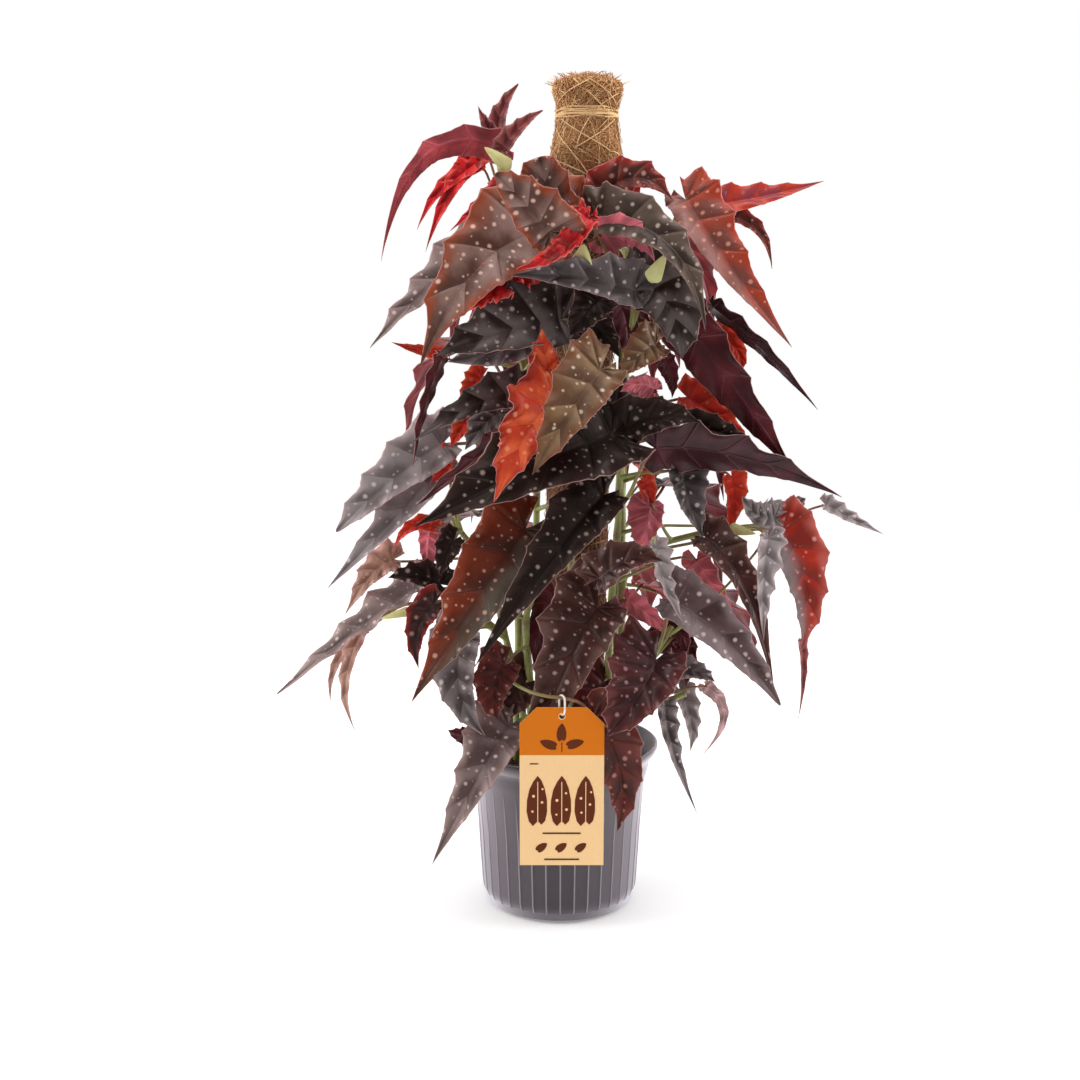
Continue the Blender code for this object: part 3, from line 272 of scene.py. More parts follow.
# Leaf looks: face, patches, edge, narrow half or None, spots, underside (0-255), spot strength, roughness
# The grey faces, grey patches and grey narrow halves are painted sheen: the grey of light reflected off dark
# glossy leaves.
LEAF_LOOKS = {
    "black": ((30, 19, 16), (16, 9, 8), (50, 34, 30), None, (160, 142, 134), (70, 20, 26), 0.75, 0.40),
    "black_grey": ((30, 19, 16), (94, 84, 83), (62, 52, 50), None, (176, 160, 154), (88, 24, 30), 0.7, 0.38),
    "grey_dark": ((74, 66, 68), (38, 31, 32), (100, 90, 92), None, (196, 182, 180),
                  (100, 30, 36), 0.75, 0.36),
    "grey": ((108, 99, 100), (62, 53, 54), (134, 122, 122), None, (206, 192, 192), (140, 60, 70), 0.7, 0.38),
    "pale_grey": ((138, 128, 129), (98, 88, 89), (166, 150, 150), None, (216, 202, 202),
                  (166, 98, 106), 0.65, 0.38),
    "grey_brown": ((122, 104, 102), (80, 64, 62), (150, 126, 122), None, (212, 190, 188),
                   (136, 56, 62), 0.7, 0.38),
    "green_grey": ((82, 68, 58), (46, 34, 30), (104, 86, 76), None, (196, 180, 166),
                   (88, 20, 26), 0.75, 0.36),
    "brown_grey": ((132, 104, 96), (78, 48, 40), (146, 64, 34), None, (226, 186, 168),
                   (120, 40, 40), 0.8, 0.38),
    "brown_grey_dark": ((58, 38, 39), (86, 66, 68), (128, 110, 112), (126, 110, 112), (206, 184, 184),
                        (120, 42, 48), 0.75, 0.36),
    "dark_brown": ((68, 36, 31), (44, 20, 18), (92, 62, 56), None, (186, 156, 148), (96, 26, 30), 0.75, 0.34),
    "dark_red_edge": ((58, 32, 30), (36, 20, 20), (136, 34, 30), None, (180, 140, 134),
                      (120, 24, 28), 0.6, 0.36),
    "maroon_brown": ((88, 30, 27), (56, 20, 20), (104, 46, 40), None, (190, 136, 126),
                     (96, 24, 28), 0.7, 0.36),
    "bronze": ((104, 38, 18), (62, 24, 15), (132, 52, 28), (78, 70, 60), (206, 156, 136),
               (130, 40, 30), 0.75, 0.38),
    "tan": ((122, 94, 66), (80, 54, 36), (112, 66, 42), None, (218, 196, 172), (130, 70, 54), 0.75, 0.40),
    "orange": ((186, 54, 28), (222, 98, 56), (150, 38, 22), None, (238, 156, 118), (180, 52, 34), 0.65, 0.40),
    "orange_brown": ((158, 58, 38), (112, 62, 54), (172, 56, 34), (150, 104, 98), (222, 152, 130),
                     (140, 38, 32), 0.75, 0.36),
    "red_orange": ((204, 54, 34), (178, 38, 28), (220, 84, 54), None, (230, 144, 116),
                   (196, 54, 40), 0.4, 0.36),
    "long_red": ((184, 60, 44), (150, 62, 72), (200, 66, 44), None, (220, 140, 130),
                 (120, 40, 48), 0.3, 0.34),
    "brown_red": ((112, 50, 40), (70, 32, 30), (164, 48, 40), None, (206, 160, 150),
                  (134, 26, 32), 0.65, 0.34),
    "young_red": ((208, 32, 38), (134, 10, 18), (226, 66, 58), None, (230, 110, 100),
                  (196, 36, 42), 0.15, 0.30),
    "red_half": ((176, 44, 28), (128, 34, 26), (184, 88, 78), (136, 124, 124), (216, 160, 150),
                 (160, 50, 42), 0.75, 0.36),
    "rosy": ((138, 68, 66), (94, 36, 42), (172, 114, 110), None, (200, 150, 150), (142, 54, 60), 0.3, 0.34),
    "maroon": ((62, 24, 26), (44, 16, 20), (90, 40, 40), None, (180, 140, 140), (64, 13, 19), 0.6, 0.34),
    "purple": ((70, 30, 34), (50, 20, 26), (100, 50, 54), None, (190, 150, 150), (46, 14, 20), 0.6, 0.34),
    "pink": ((110, 60, 62), (90, 44, 48), (150, 90, 94), None, (206, 160, 160), (172, 84, 94), 0.5, 0.40),
    "pale_curled": ((176, 150, 150), (140, 108, 110), (196, 166, 164), None, (216, 196, 196),
                    (170, 136, 136), 0.4, 0.38),
    "pale_brown": ((176, 138, 120), (134, 96, 82), (206, 160, 150), None, (220, 190, 180),
                   (176, 104, 96), 0.4, 0.38),
}

# Leaves whose tip is blunt, and leaves that are crinkled more than others
BLUNT_TIPS = (
    "grey_two_lobed_upper", "long_grey_left", "right_brown_low", "top_crown", "top_crown_left",
    "young_crinkled", "antler_inner", "antler_outer",
)
CRINKLED = {
    "young_crinkled": 8.0, "orange_fan": 4.4, "orange_crown": 4.4, "top_crown": 1.6, "top_crown_left": 1.6,
    "crumpled_right_top": 2.6, "crumpled_right_outer": 2.6, "grey_cluster_left": 1.3,
    "grey_cluster_right": 1.6, "red_young_upper": 4.0, "red_young_lower": 4.0, "red_young_left": 5.0,
    "curled_brown_left": 2.4,
}
RAGGED = 0.05
BLUNT_FROM, BLUNT_REACH = 0.88, 0.06
SPOT_SPACING = 0.0138
LEAF_SHINE, DARK_SHINE = 0.30, 0.20
SHINE_TINT = (255, 228, 218)
MARGIN_COLOUR, MARGIN_FROM = (196, 150, 146), (0.972, 0.992)
VEIN_COLOUR = (40, 16, 16)

# Stems
FINE_STEPS, FINE_JOINT = 8, 0.004
FINE_CANE_SIDES, FINE_PETIOLE_SIDES = 12, 8
CANE_FIT = 0.94
INTERNODE = 0.042
NODE_SWELL, NODE_LENGTH = 0.24, 0.0042
PETIOLE_FLARE = 0.0011
BRACT_ROWS, BRACT_BOW, BRACT_THICKNESS = 12, 0.10, 0.0007
PALE_BRACTS = (
    ((-50, 752, 44), (-76, 775, 40), 17), ((20, 652, 112), (24, 678, 118), 24),
    ((90, 640, 100), (106, 668, 104), 19), ((-148, 312, 66), (-180, 303, 66), 11),
    ((168, 394, 60), (196, 388, 66), 14), ((92, 384, 60), (108, 372, 66), 10),
)

# Coir
FIBRES, STRAWS = 5000, 110
TOP_FIBRES, TOP_STRAWS, TOP_FROM = 3200, 60, 0.70
FIBRE_RADIUS = 0.00040
FIBRE_LENGTH, STRAW_LENGTH = (0.022, 0.060), (0.05, 0.16)
FIBRE_TOP = 0.821
SHOULDER = 0.008
CORE_LOW, CORE_SPAN = SOIL_TOP - 0.004, FIBRE_TOP - 0.003 - SOIL_TOP
CORE_STEPS, CORE_SIDES, CORE_DEPTH = 60, 40, 0.0016
FRAY, FRAY_REACH, FRAY_RISE, FRAY_LENGTH = 500, 0.031, 0.003, (0.004, 0.010)
# Heights over which the painted shadow on the coir fades in going down.
PAINTED_SHADOW_BELOW = (0.70, 0.76)
COIR_SEED = 5

# Straw tie: its strands round the waist, and loose diagonals as (turn, from height, to height, lean)
TIE_STRANDS, TIE_STEPS, TIE_TURNS = 9, 44, 1.04
TIE_SPREAD, TIE_TILT = 0.0036, 0.003
TIE_STRAND, TIE_LOOSE, TIE_OUT = 0.0008, 0.0005, 0.0014
TIE_DIAGONALS = (
    (200, 0.795, 0.815, 70), (268, 0.817, 0.790, 80), (215, 0.781, 0.751, 95), (330, 0.781, 0.753, -80),
    (190, 0.741, 0.715, 120), (350, 0.737, 0.705, -110),
)

# Pot and soil finish; the inner wall follows the pot's outside from point WALL_FROM down
WALL_FROM = 5
INNER_LIP = ((0.0966, 0.1657), (0.0975, 0.1667))
POT_LOWER = ((0.0815, 0.0600), (0.0802, 0.0400))
POT_FLOOR, FLOOR_EDGE, POT_CENTRE = 0.0030, 0.075, 0.001
FOOT_STEPS = 8
GROOVE_WIDTH, GROOVE_DEPTH = 0.0015, 0.0012
RIB_TOP, RIB_RAISE, RIB_FADE = 0.126, 0.0007, 0.004
RIB_SPREAD, RIB_HALF = 0.055, 0.035
FLUTE_SHARES = (0.0, 0.03, 0.06, 0.10, 0.25, 0.50, 0.75, 0.90, 0.94, 0.97)
SOIL_RIM, SOIL_CENTRE, SOIL_FOOT = 0.0883, 0.0005, 0.0034
SOIL_RINGS, SOIL_SIDES, SOIL_ROUGH = 30, 96, 0.0016
SOIL_CRUMBS, CRUMB_SIZE, CRUMB_RISE = 700, (0.0008, 0.0026), 0.002

# Tag print, from its top middle: leaf marks (x, z, length, width, turn), bars (x0, x1, z0, z1), and dots
TAG_CREAM, TAG_ORANGE, TAG_INK = (247, 205, 150), (216, 115, 8), (96, 40, 12)
HEAD_RISE, HEAD_DEPTH, HEAD_HOLE, SLIT = 0.00010, 0.00012, 1.3, 0.00001
PRINT_RISE, PRINT_DEPTH = 0.00020, 0.00008
LEAF_MARK = (
    (0.04, 0.03), (-0.05, 0.22), (0.05, 0.40), (0.25, 0.50), (0.50, 0.48), (0.72, 0.37), (0.88, 0.20),
    (1.00, 0.00), (0.90, -0.17), (0.74, -0.31), (0.50, -0.41), (0.25, -0.42), (0.06, -0.33),
    (-0.02, -0.16), (0.04, -0.03),
)
HEAD_SPRIG = (
    (0.0000, -0.0320, 0.0170, 0.0100, 90), (-0.0050, -0.0375, 0.0165, 0.0095, 162),
    (0.0050, -0.0375, 0.0165, 0.0095, 18),
)
TAG_BARS = (
    (-0.0300, -0.0220, -0.0550, -0.0538), (-0.0180, 0.0180, -0.1232, -0.1216),
    (-0.0165, 0.0165, -0.1490, -0.1474), (-0.0005, 0.0005, -0.0430, -0.0335),
)
TAG_LEAVES = (
    *((x, -0.1130, 0.0470, 0.0210, 90) for x in (-0.0225, 0.0, 0.0225)),
    *((x, -0.1400, 0.0120, 0.0080, 40) for x in (-0.0230, -0.0045, 0.0140)),
)
TAG_RIBS = (
    (-0.0229, -0.0221, -0.1130, -0.0720), (-0.0004, 0.0004, -0.1130, -0.0720),
    (0.0221, 0.0229, -0.1130, -0.0720),
)
TAG_DOTS = (
    (-0.0265, -0.0860, 0.0014), (-0.0185, -0.0920, 0.0012), (-0.0275, -0.1010, 0.0011),
    (-0.0180, -0.0790, 0.0010), (-0.0045, -0.0900, 0.0014), (0.0040, -0.0830, 0.0011),
    (0.0045, -0.0990, 0.0013), (-0.0050, -0.1040, 0.0010), (0.0180, -0.0880, 0.0013),
    (0.0265, -0.0940, 0.0012), (0.0275, -0.0820, 0.0010), (0.0185, -0.1020, 0.0011),
)

# Surroundings
FLOOR_SIZE, FLOOR_DROP = 5.0, 0.0005
FLOOR_GLOW = 0.20
SENSOR = 36.0
WORLD_FADE, WORLD_FRONT = (-0.90, -0.10), 0.25
LIGHTS = (
    ("top_light", (0.1, -0.5, 2.4), (0, 0, 0.4), 1.2, 22),
    ("left_light", (-1.9, 0.1, 0.9), (0, 0, 0.40), 1.2, 26),
    ("right_light", (1.9, 0.1, 0.9), (0, 0, 0.40), 1.2, 24),
)


def smooth(a, b, c, d, t):
    """The value or point at share t of the way from b to c, on a Catmull-Rom curve through all four."""
    return 0.5 * (2 * b + (c - a) * t + (2 * a - 5 * b + 4 * c - d) * t * t
                  + (3 * b - a - 3 * c + d) * t ** 3)


def smooth_way(points, steps):
    """Points along a Catmull-Rom curve through the given ones."""
    ends = [points[0] * 2 - points[1], *points, points[-1] * 2 - points[-2]]
    way = [smooth(*ends[i:i + 4], k / steps) for i in range(len(points) - 1) for k in range(steps)]
    way.append(points[-1].copy())
    return way


def seen(place):
    """The point that is `front` mm before the pole's plane and shows at (across, up) in the front view."""
    across, up, front = place
    line = AIM + RIGHT * (across * MM - AIM.x) + UP * (up * MM - AIM_UP) - EYE
    return EYE + line * ((-front * MM - EYE.y) / line.y)


def turned(reach, turn, height, x=0.0):
    """A point at a reach and turn round an upright axis."""
    return Vector((x + reach * math.cos(turn), reach * math.sin(turn), height))


def pole_axis(height):
    """Where the pole's axis is at a height; it leans a little above the soil."""
    top = POLE_OUTLINE[-1][0]
    lean = max(0.0, height - SOIL_TOP) / (top - SOIL_TOP)
    return POLE_X + (POLE_TOP_X - POLE_X) * lean


def tag_hole():
    """The hole's centre, below the petiole by the length that the loop gives."""
    return seen(TAG_HANG) - Vector((0.0, 0.0, LOOP_DROP))


def tube_faces(a, b, count):
    """The quads between two rings of a tube whose first vertices are a and b."""
    return [(a + i, a + (i + 1) % count, b + (i + 1) % count, b + i) for i in range(count)]


def turned_faces(a, b, count):
    """The quads between two rings of a turned shape whose first vertices are a and b."""
    return [(a + i, b + i, b + (i + 1) % count, a + (i + 1) % count) for i in range(count)]


class Leaf:
    """One leaf: its midrib's base, middle and tip, its width, and how it faces."""

    def __init__(self, name, base, middle, tip, width, roll, twist, facing):
        self.name = name
        self.base, self.tip = base, tip
        self.control = middle * 2 - (base + tip) / 2
        self.width = width
        self.roll, self.twist = math.radians(roll), math.radians(twist)
        self.facing = facing
        self.length = (middle - base).length + (tip - middle).length
        slope = self.frame(0.5)[2]
        outward = math.copysign(0.3, base.x)
        self.up_sign = math.copysign(1.0, slope.z + outward * slope.x)

    def moved(self, shift):
        """The same leaf, moved by a vector."""
        middle = (self.control + (self.base + self.tip) / 2) / 2
        places = (place + shift for place in (self.base, middle, self.tip))
        copy = Leaf(self.name, *places, self.width, 0, 0, self.facing)
        copy.roll, copy.twist, copy.up_sign = self.roll, self.twist, self.up_sign
        return copy

    def midrib(self, s):
        """The midrib's point and direction, s from 0 at the base to 1 at the tip."""
        t = max(0.0, s)
        point = self.base * (1 - t) ** 2 + self.control * (2 * t * (1 - t)) + self.tip * t * t
        along = (self.control - self.base) * (1 - t) + (self.tip - self.control) * t
        along.normalize()
        if s < 0.0:
            point = point + along * (s * self.length)
        return point, along

    def frame(self, s):
        """The midrib's point, the blade's normal and its sideways direction there."""
        point, along = self.midrib(s)
        normal = (self.facing - along * along.dot(self.facing)).normalized()
        return point, normal, along.cross(normal)

    def blade_frame(self, s):
        """The frame, rolled about the midrib so that a positive roll turns the face up."""
        point, normal, side = self.frame(s)
        side = side * self.up_sign
        roll = self.roll + self.twist * max(0.0, s)
        return (point, normal * math.cos(roll) + side * math.sin(roll),
                side * math.cos(roll) - normal * math.sin(roll))


def between(values, r):
    """A value at vein r, on a smooth curve through the values at whole veins."""
    k = min(int(r), VEINS - 2)
    return smooth(values[max(0, k - 1)], values[k], values[k + 1], values[min(VEINS - 1, k + 2)], r - k)


def flat_place(leaf, angles, r, reach):
    """Where a point of vein r lies on the flat blade, as (along, across) the midrib."""
    angle = math.radians(between(angles, r))
    start = max(0.0, between(VEIN_STARTS, r)) * leaf.length
    return start + reach * math.cos(angle), reach * math.sin(angle)


def taper(r):
    """The share of the relief that is left at vein r; the tip has none."""
    return 1 - (r / (VEINS - 1)) ** 3


def plain_lift(leaf, r, c, across):
    """How far the fold along the midrib and the ruffle of the margin lift a point."""
    ruffle = RUFFLE * leaf.width * math.cos(2 * math.pi * r) * c * c * taper(r)
    return across * math.tan(math.radians(FOLD)) + ruffle


def blade_point(leaf, hand, r, c):
    """The plain blade's point at vein r and share c of the way to the margin; hand is 1 on the wide side."""
    angles, reaches = SIDES[hand]
    tooth = 1 - TOOTH_DIP * abs(math.sin(math.pi * r)) ** TOOTH_CURVE
    reach = leaf.width * max(0.0, between(reaches, r)) * tooth * c
    along, across = flat_place(leaf, angles, r, reach)
    point, normal, side = leaf.blade_frame(min(1.0, along / leaf.length))
    return point + side * (hand * across) + normal * plain_lift(leaf, r, c, across)


def blade_rows(leaf):
    """The rows that the blade is made with: a small leaf has one for each vein, others two."""
    step = 1.0 if leaf.length < SMALL_LEAF else 0.5
    return [k * step for k in range(int((VEINS - 1) / step) + 1)]


def blade_surface(leaf):
    """The plain blade's vertices and triangles, an open surface."""
    vertices, faces = [], []
    rows = blade_rows(leaf)
    for hand in SIDES:
        start = len(vertices)
        for r in rows:
            vertices += [blade_point(leaf, hand, r, 0.0), blade_point(leaf, hand, r, 1.0)]
        for a in range(start, start + 2 * len(rows) - 2, 2):
            corners = ((a, a + 1, a + 3), (a, a + 3, a + 2))
            faces += corners if hand > 0 else [face[::-1] for face in corners]
    return vertices, faces


def petiole_way(leaf, root, route, steps=PETIOLE_STEPS, joint=None):
    """The petiole's points from its root in the cane to just inside the blade, or to another place on it."""
    if joint is None:
        joint = max(JOINT_SHARE, JOINT_LEAST / leaf.length)
    end, normal, _ = leaf.blade_frame(joint)
    along = leaf.midrib(joint)[1]
    if route:
        return smooth_way([root, *(seen(place) for place in route), end], steps)
    span = (end - root).length
    outward = Vector((end.x - root.x, end.y - root.y, 0.4 * span)).normalized()
    leave = root + outward * (0.36 * span)
    arrive = end - (along * 0.6 + normal * 0.8).normalized() * (0.30 * span)
    way = []
    for t in (k / steps for k in range(steps + 1)):
        way.append(root * (1 - t) ** 3 + leave * (3 * t * (1 - t) ** 2)
                   + arrive * (3 * t * t * (1 - t)) + end * t ** 3)
    return way


def tube_shell(way, radius):
    """Vertices and quads of a plain four-sided tube, for testing what a petiole crosses."""
    vertices, faces = [], []
    for k, point in enumerate(way):
        along = (way[min(k + 1, len(way) - 1)] - way[max(k - 1, 0)]).normalized()
        side = along.orthogonal().normalized()
        other = along.cross(side)
        vertices += [point + side * radius, point + other * radius,
                     point - side * radius, point - other * radius]
        if k:
            faces += tube_faces(4 * k - 4, 4 * k, 4)
    return vertices, faces


def thick_shell(leaf):
    """Vertices and triangles of the blade with room on both sides, for testing what it crosses."""
    vertices, faces = blade_surface(leaf)
    normals = [Vector() for _ in vertices]
    for face in faces:
        a, b, c = (vertices[i] for i in face)
        normal = (b - a).cross(c - a)
        for i in face:
            normals[i] += normal
    half = BLADE / 2 + ROOM
    shift = [n.normalized() * half if n.length > 0 else Vector() for n in normals]
    count = len(vertices)
    both = [v + s for v, s in zip(vertices, shift)] + [v - s for v, s in zip(vertices, shift)]
    return both, faces + [tuple(i + count for i in face) for face in faces]


class Obstacles:
    """What a new leaf must clear: for each node, the shells already placed."""

    def __init__(self):
        self.shells = {}

    def add(self, node, vertices, faces):
        """Add a shell to a node."""
        self.shells.setdefault(node, []).append(BVHTree.FromPolygons([tuple(v) for v in vertices], faces))

    def crossed(self, vertices, faces):
        """How many placed shells a shell crosses, as a dict by node."""
        tree = BVHTree.FromPolygons([tuple(v) for v in vertices], faces)
        found = {}
        for node, shells in self.shells.items():
            hits = sum(1 for shell in shells if shell.overlap(tree))
            if hits:
                found[node] = hits
        return found


class Cane:
    """A cane with its strands, and the places where leaves may leave it."""

    def __init__(self, name, foot, ways):
        self.name = name
        x, y = foot
        surface = Vector((x, y, SOIL_TOP + 0.010))
        strands = [[surface, *(seen(place) for place in ways[0])]]
        strands += [[seen(place) for place in way] for way in ways[1:] if way]
        self.strands = strands
        self.curves = [smooth_way(strand, CANE_STEPS) for strand in strands]
        self.curves[0].insert(0, Vector((x, y, SOIL_TOP - STEM_DEPTH)))
        self.leaves = []

    def roots(self):
        """Points on the cane's axis about a node's length apart, above the soil."""
        found = []
        for way in self.curves:
            for a, b in zip(way, way[1:]):
                count = max(1, round((b - a).length / NODE_SPACING))
                found += [a.lerp(b, (k + 0.5) / count) for k in range(count)]
        return [root for root in found if root.z > SOIL_TOP + 0.03]

    def nearest_root(self, place):
        """The root nearest to a point."""
        return min(self.roots(), key=lambda root: (root - place).length)

    def best_root(self, leaf):
        """The root that gives this leaf the most natural petiole, and how unnatural that is."""
        def strain(root):
            reach = leaf.base - root
            wanted = 0.030 + 0.25 * leaf.length
            drop = max(0.0, -reach.z)
            return abs(reach.length - wanted) + 0.8 * drop
        root = min(self.roots(), key=strain)
        return root, strain(root)


def arching_leaf(name, height, turn, out, length, width, places):
    """A leaf on the far side of the pole, its middle and tip at (outwards, down) in leaf lengths."""
    outward = Vector((math.cos(turn), math.sin(turn), 0.0))
    start = Vector((pole_axis(height), 0.0, height)) + outward * out
    middle, tip = (start + outward * (far * length) + Vector((0, 0, -down * length)) for far, down in places)
    facing = (outward + Vector((0, 0, BACK_LOOKS_UP))).normalized()
    return Leaf(name, start, middle, tip, width, 0, 0, facing)


def back_leaf(i, draw):
    """A leaf on the far side of the pole: outwards, arching over and down."""
    share = (i + 0.5) / BACK_LEAVES
    height = BACK_LOW + (BACK_HIGH - BACK_LOW) * ((i * 7) % BACK_LEAVES + 0.5) / BACK_LEAVES
    turn = math.radians(18 + 144 * share + draw.uniform(-6, 6))
    length = draw.uniform(0.125, 0.175) * (1.15 - 0.35 * height)
    out, drop = draw.uniform(0.095, 0.125), draw.uniform(0.5, 0.85)
    width = length * draw.uniform(0.40, 0.50)
    name = f"back_{i + 1:02d}"
    return arching_leaf(name, height, turn, out, length, width, ((0.34, 0.25 * drop), (0.55, drop)))


def young_leaf(i, draw):
    """A short young leaf behind the pole, closer to the canes; only the looks have it."""
    height = BACK_LOW + (BACK_HIGH - BACK_LOW) * ((i * 3) % YOUNG_LEAVES + 0.5) / YOUNG_LEAVES
    turn = math.radians(24 + 132 * (i + 0.5) / YOUNG_LEAVES + draw.uniform(-8, 8))
    length, out = draw.uniform(0.075, 0.100), draw.uniform(0.070, 0.090)
    name = f"young_{i + 1:02d}"
    return arching_leaf(name, height, turn, out, length, length * 0.44, ((0.30, 0.22), (0.45, 0.70)))


def front_leaf(name, base, middle, tip, width, roll, twist):
    """A leaf of the list; the nearer it is to the front, the further forward its tip hangs."""
    length = math.dist(base, middle) + math.dist(middle, tip)
    share = base[2] / math.hypot(base[0] - POLE_X / MM, base[2])
    reach = 0.0 if name in HANGS_CLOSE else REACH_FORWARD * share * length
    middle = (middle[0], middle[1], middle[2] + reach / 2)
    tip = (tip[0], tip[1], tip[2] + reach)
    places = [seen(place) for place in (base, middle, tip)]
    return Leaf(name, *places, width * MM, roll, twist, (EYE - places[1]).normalized())


def shifts():
    """Moves to try, the smallest first."""
    yield 0.0
    for k in range(1, MOVES + 1):
        yield k * MOVE_STEP
        yield -k * MOVE_STEP


def try_leaf(leaf, cane, obstacles):
    """What a leaf on a cane crosses on other nodes and on its own, then its petiole and both shells."""
    carrier = leaf.name == TAG_CARRIER
    root = cane.nearest_root(seen(TAG_PETIOLE[0])) if carrier else cane.best_root(leaf)[0]
    way = petiole_way(leaf, root, TAG_PETIOLE if carrier else None)
    blade, stalk = thick_shell(leaf), tube_shell(way, PETIOLE_RADIUS + GAP / 2)
    touched, stalk_touched = obstacles.crossed(*blade), obstacles.crossed(*stalk)
    own = touched.pop(cane.name, 0) + max(0, stalk_touched.pop(cane.name, 0) - 1)
    strange = sum(touched.values()) + sum(stalk_touched.values())
    return strange, own, way, blade, stalk


def place_leaf(leaf, canes, obstacles):
    """Move the leaf along its sight line, and pick its cane, so that it crosses no other node."""
    away = (EYE - leaf.base).normalized()
    if leaf.name.startswith("back"):
        away = Vector((leaf.base.x - POLE_X, leaf.base.y, 0.0)).normalized()
    ranked, moves = sorted(canes, key=lambda cane: cane.best_root(leaf)[1])[:NEAR_CANES], list(shifts())
    if leaf.name == TAG_CARRIER:
        ranked, moves = [cane for cane in canes if cane.name == TAG_CANE], [0.0]
    best = None
    for order, cane in enumerate(ranked):
        for step, move in enumerate(moves):
            if best and best[0][0] == 0 and order * CANE_COST + step > best[0][1]:
                break
            trial = leaf.moved(away * move)
            strange, own, *made = try_leaf(trial, cane, obstacles)
            cost = (strange, own * OWN_COST + order * CANE_COST + step, cane.best_root(trial)[1])
            if best is None or cost < best[0]:
                best = (cost, cane, trial, *made)
    _, cane, trial, way, blade, stalk = best
    obstacles.add(cane.name, *blade)
    obstacles.add(cane.name, *stalk)
    cane.leaves.append((trial, way))


def screen(colour):
    """A 0-255 screen colour as the shader takes it."""
    shares = [value / 255 for value in colour]
    return (*(s / 12.92 if s <= 0.04045 else ((s + 0.055) / 1.055) ** 2.4 for s in shares), 1.0)


class Shade:
    """A material and the short calls that build its nodes."""

    def __init__(self, name, roughness, shine=0.5):
        self.material = bpy.data.materials.new(name)
        self.material.use_nodes = True
        self.tree = self.material.node_tree
        self.shader = self.tree.nodes["Principled BSDF"]
        self.finish(Roughness=roughness, Specular_IOR_Level=shine)

    def finish(self, **values):
        """Plain values for the shader's sockets; an underscore in a name stands for a space."""
        for name, value in values.items():
            self.shader.inputs[name.replace("_", " ")].default_value = value

    def set(self, socket, value):
        """Link a socket, or give it a plain value."""
        if isinstance(value, bpy.types.NodeSocket):
            self.tree.links.new(value, socket)
        else:
            socket.default_value = value

    def put(self, kind, **inputs):
        """A new node with some inputs set; an underscore in an input's name stands for a space."""
        made = self.tree.nodes.new("ShaderNode" + kind)
        for name, value in inputs.items():
            self.set(made.inputs[name.replace("_", " ")], value)
        return made

    def place(self):
        """The point in the object's own metres."""
        return self.put("TexCoord").outputs["Object"]

    def attribute(self, name):
        """The vector of a mesh attribute, and its three numbers."""
        made = self.put("Attribute")
        made.attribute_name = name
        parts = self.put("SeparateXYZ", Vector=made.outputs["Vector"])
        return made.outputs["Vector"], parts.outputs["X"], parts.outputs["Y"], parts.outputs["Z"]

    def math(self, operation, *values):
        """A Math node's value; the input after the given ones is 0."""
        made = self.put("Math")
        made.operation = operation
        for socket, value in zip(made.inputs, (*values, 0.0)):
            self.set(socket, value)
        return made.outputs[0]

    def times(self, a, b):
        """A product."""
        return self.math("MULTIPLY", a, b)

    def add(self, a, b):
        """A sum."""
        return self.math("ADD", a, b)

    def rise(self, value, low, high):
        """A smooth step from 0 at low to 1 at high."""
        made = self.put("MapRange", Value=value, From_Min=low, From_Max=high)
        made.interpolation_type = "SMOOTHSTEP"
        return made.outputs["Result"]

    def mix(self, share, a, b):
        """A colour between a and b, each a socket or a 0-255 screen colour."""
        made = self.put("Mix")
        made.data_type = "RGBA"
        self.set(made.inputs[0], share)
        for socket, colour in ((made.inputs[6], a), (made.inputs[7], b)):
            self.set(socket, colour if isinstance(colour, bpy.types.NodeSocket) else screen(colour))
        return made.outputs[2]

    def noise(self, vector, scale, detail=2.0):
        """A noise value from 0 to 1."""
        return self.put("TexNoise", Vector=vector, Scale=scale, Detail=detail).outputs["Fac"]

    def bump(self, height, distance, strength=1.0, under=None):
        """A bump for the shader's normal, over another one if given."""
        made = self.put("Bump", Height=height, Distance=distance, Strength=strength)
        if under:
            self.set(made.inputs["Normal"], under)
        return made.outputs["Normal"]

    def done(self, colour, normal=None, roughness=None):
        """Link the finished colour, normal and roughness, and return the material."""
        self.set(self.shader.inputs["Base Color"], colour)
        if normal:
            self.set(self.shader.inputs["Normal"], normal)
        if roughness:
            self.set(self.shader.inputs["Roughness"], roughness)
        return self.material


class LeafShade(Shade):
    """A leaf's material, with what its nodes read of the fine blade."""

    def __init__(self, name, roughness, shine, cloud_scale):
        super().__init__(name, roughness, shine)
        self.flat, _, self.across, _ = self.attribute("flat")
        _, self.vein_gap, self.share, self.row = self.attribute("vein")
        self.cloud = self.noise(self.flat, cloud_scale, 3.0)

    def spots(self, spacing, low, high, soft):
        """Round soft-edged spots of random size scattered over the blade, in metres."""
        cells = self.put("TexVoronoi", Vector=self.flat, Scale=1 / spacing, Randomness=0.70)
        cells.voronoi_dimensions = "2D"
        pick = self.put("SeparateColor", Color=cells.outputs["Color"]).outputs[0]
        radius = self.math("MULTIPLY_ADD", pick, (high - low) / spacing, low / spacing)
        inside = self.math("SUBTRACT", radius, cells.outputs["Distance"])
        return self.rise(inside, -soft / spacing, soft / spacing)

    def margined(self, colour, strength):
        """A colour with the thin pale margin."""
        return self.mix(self.times(self.rise(self.share, *MARGIN_FROM), strength), colour, MARGIN_COLOUR)


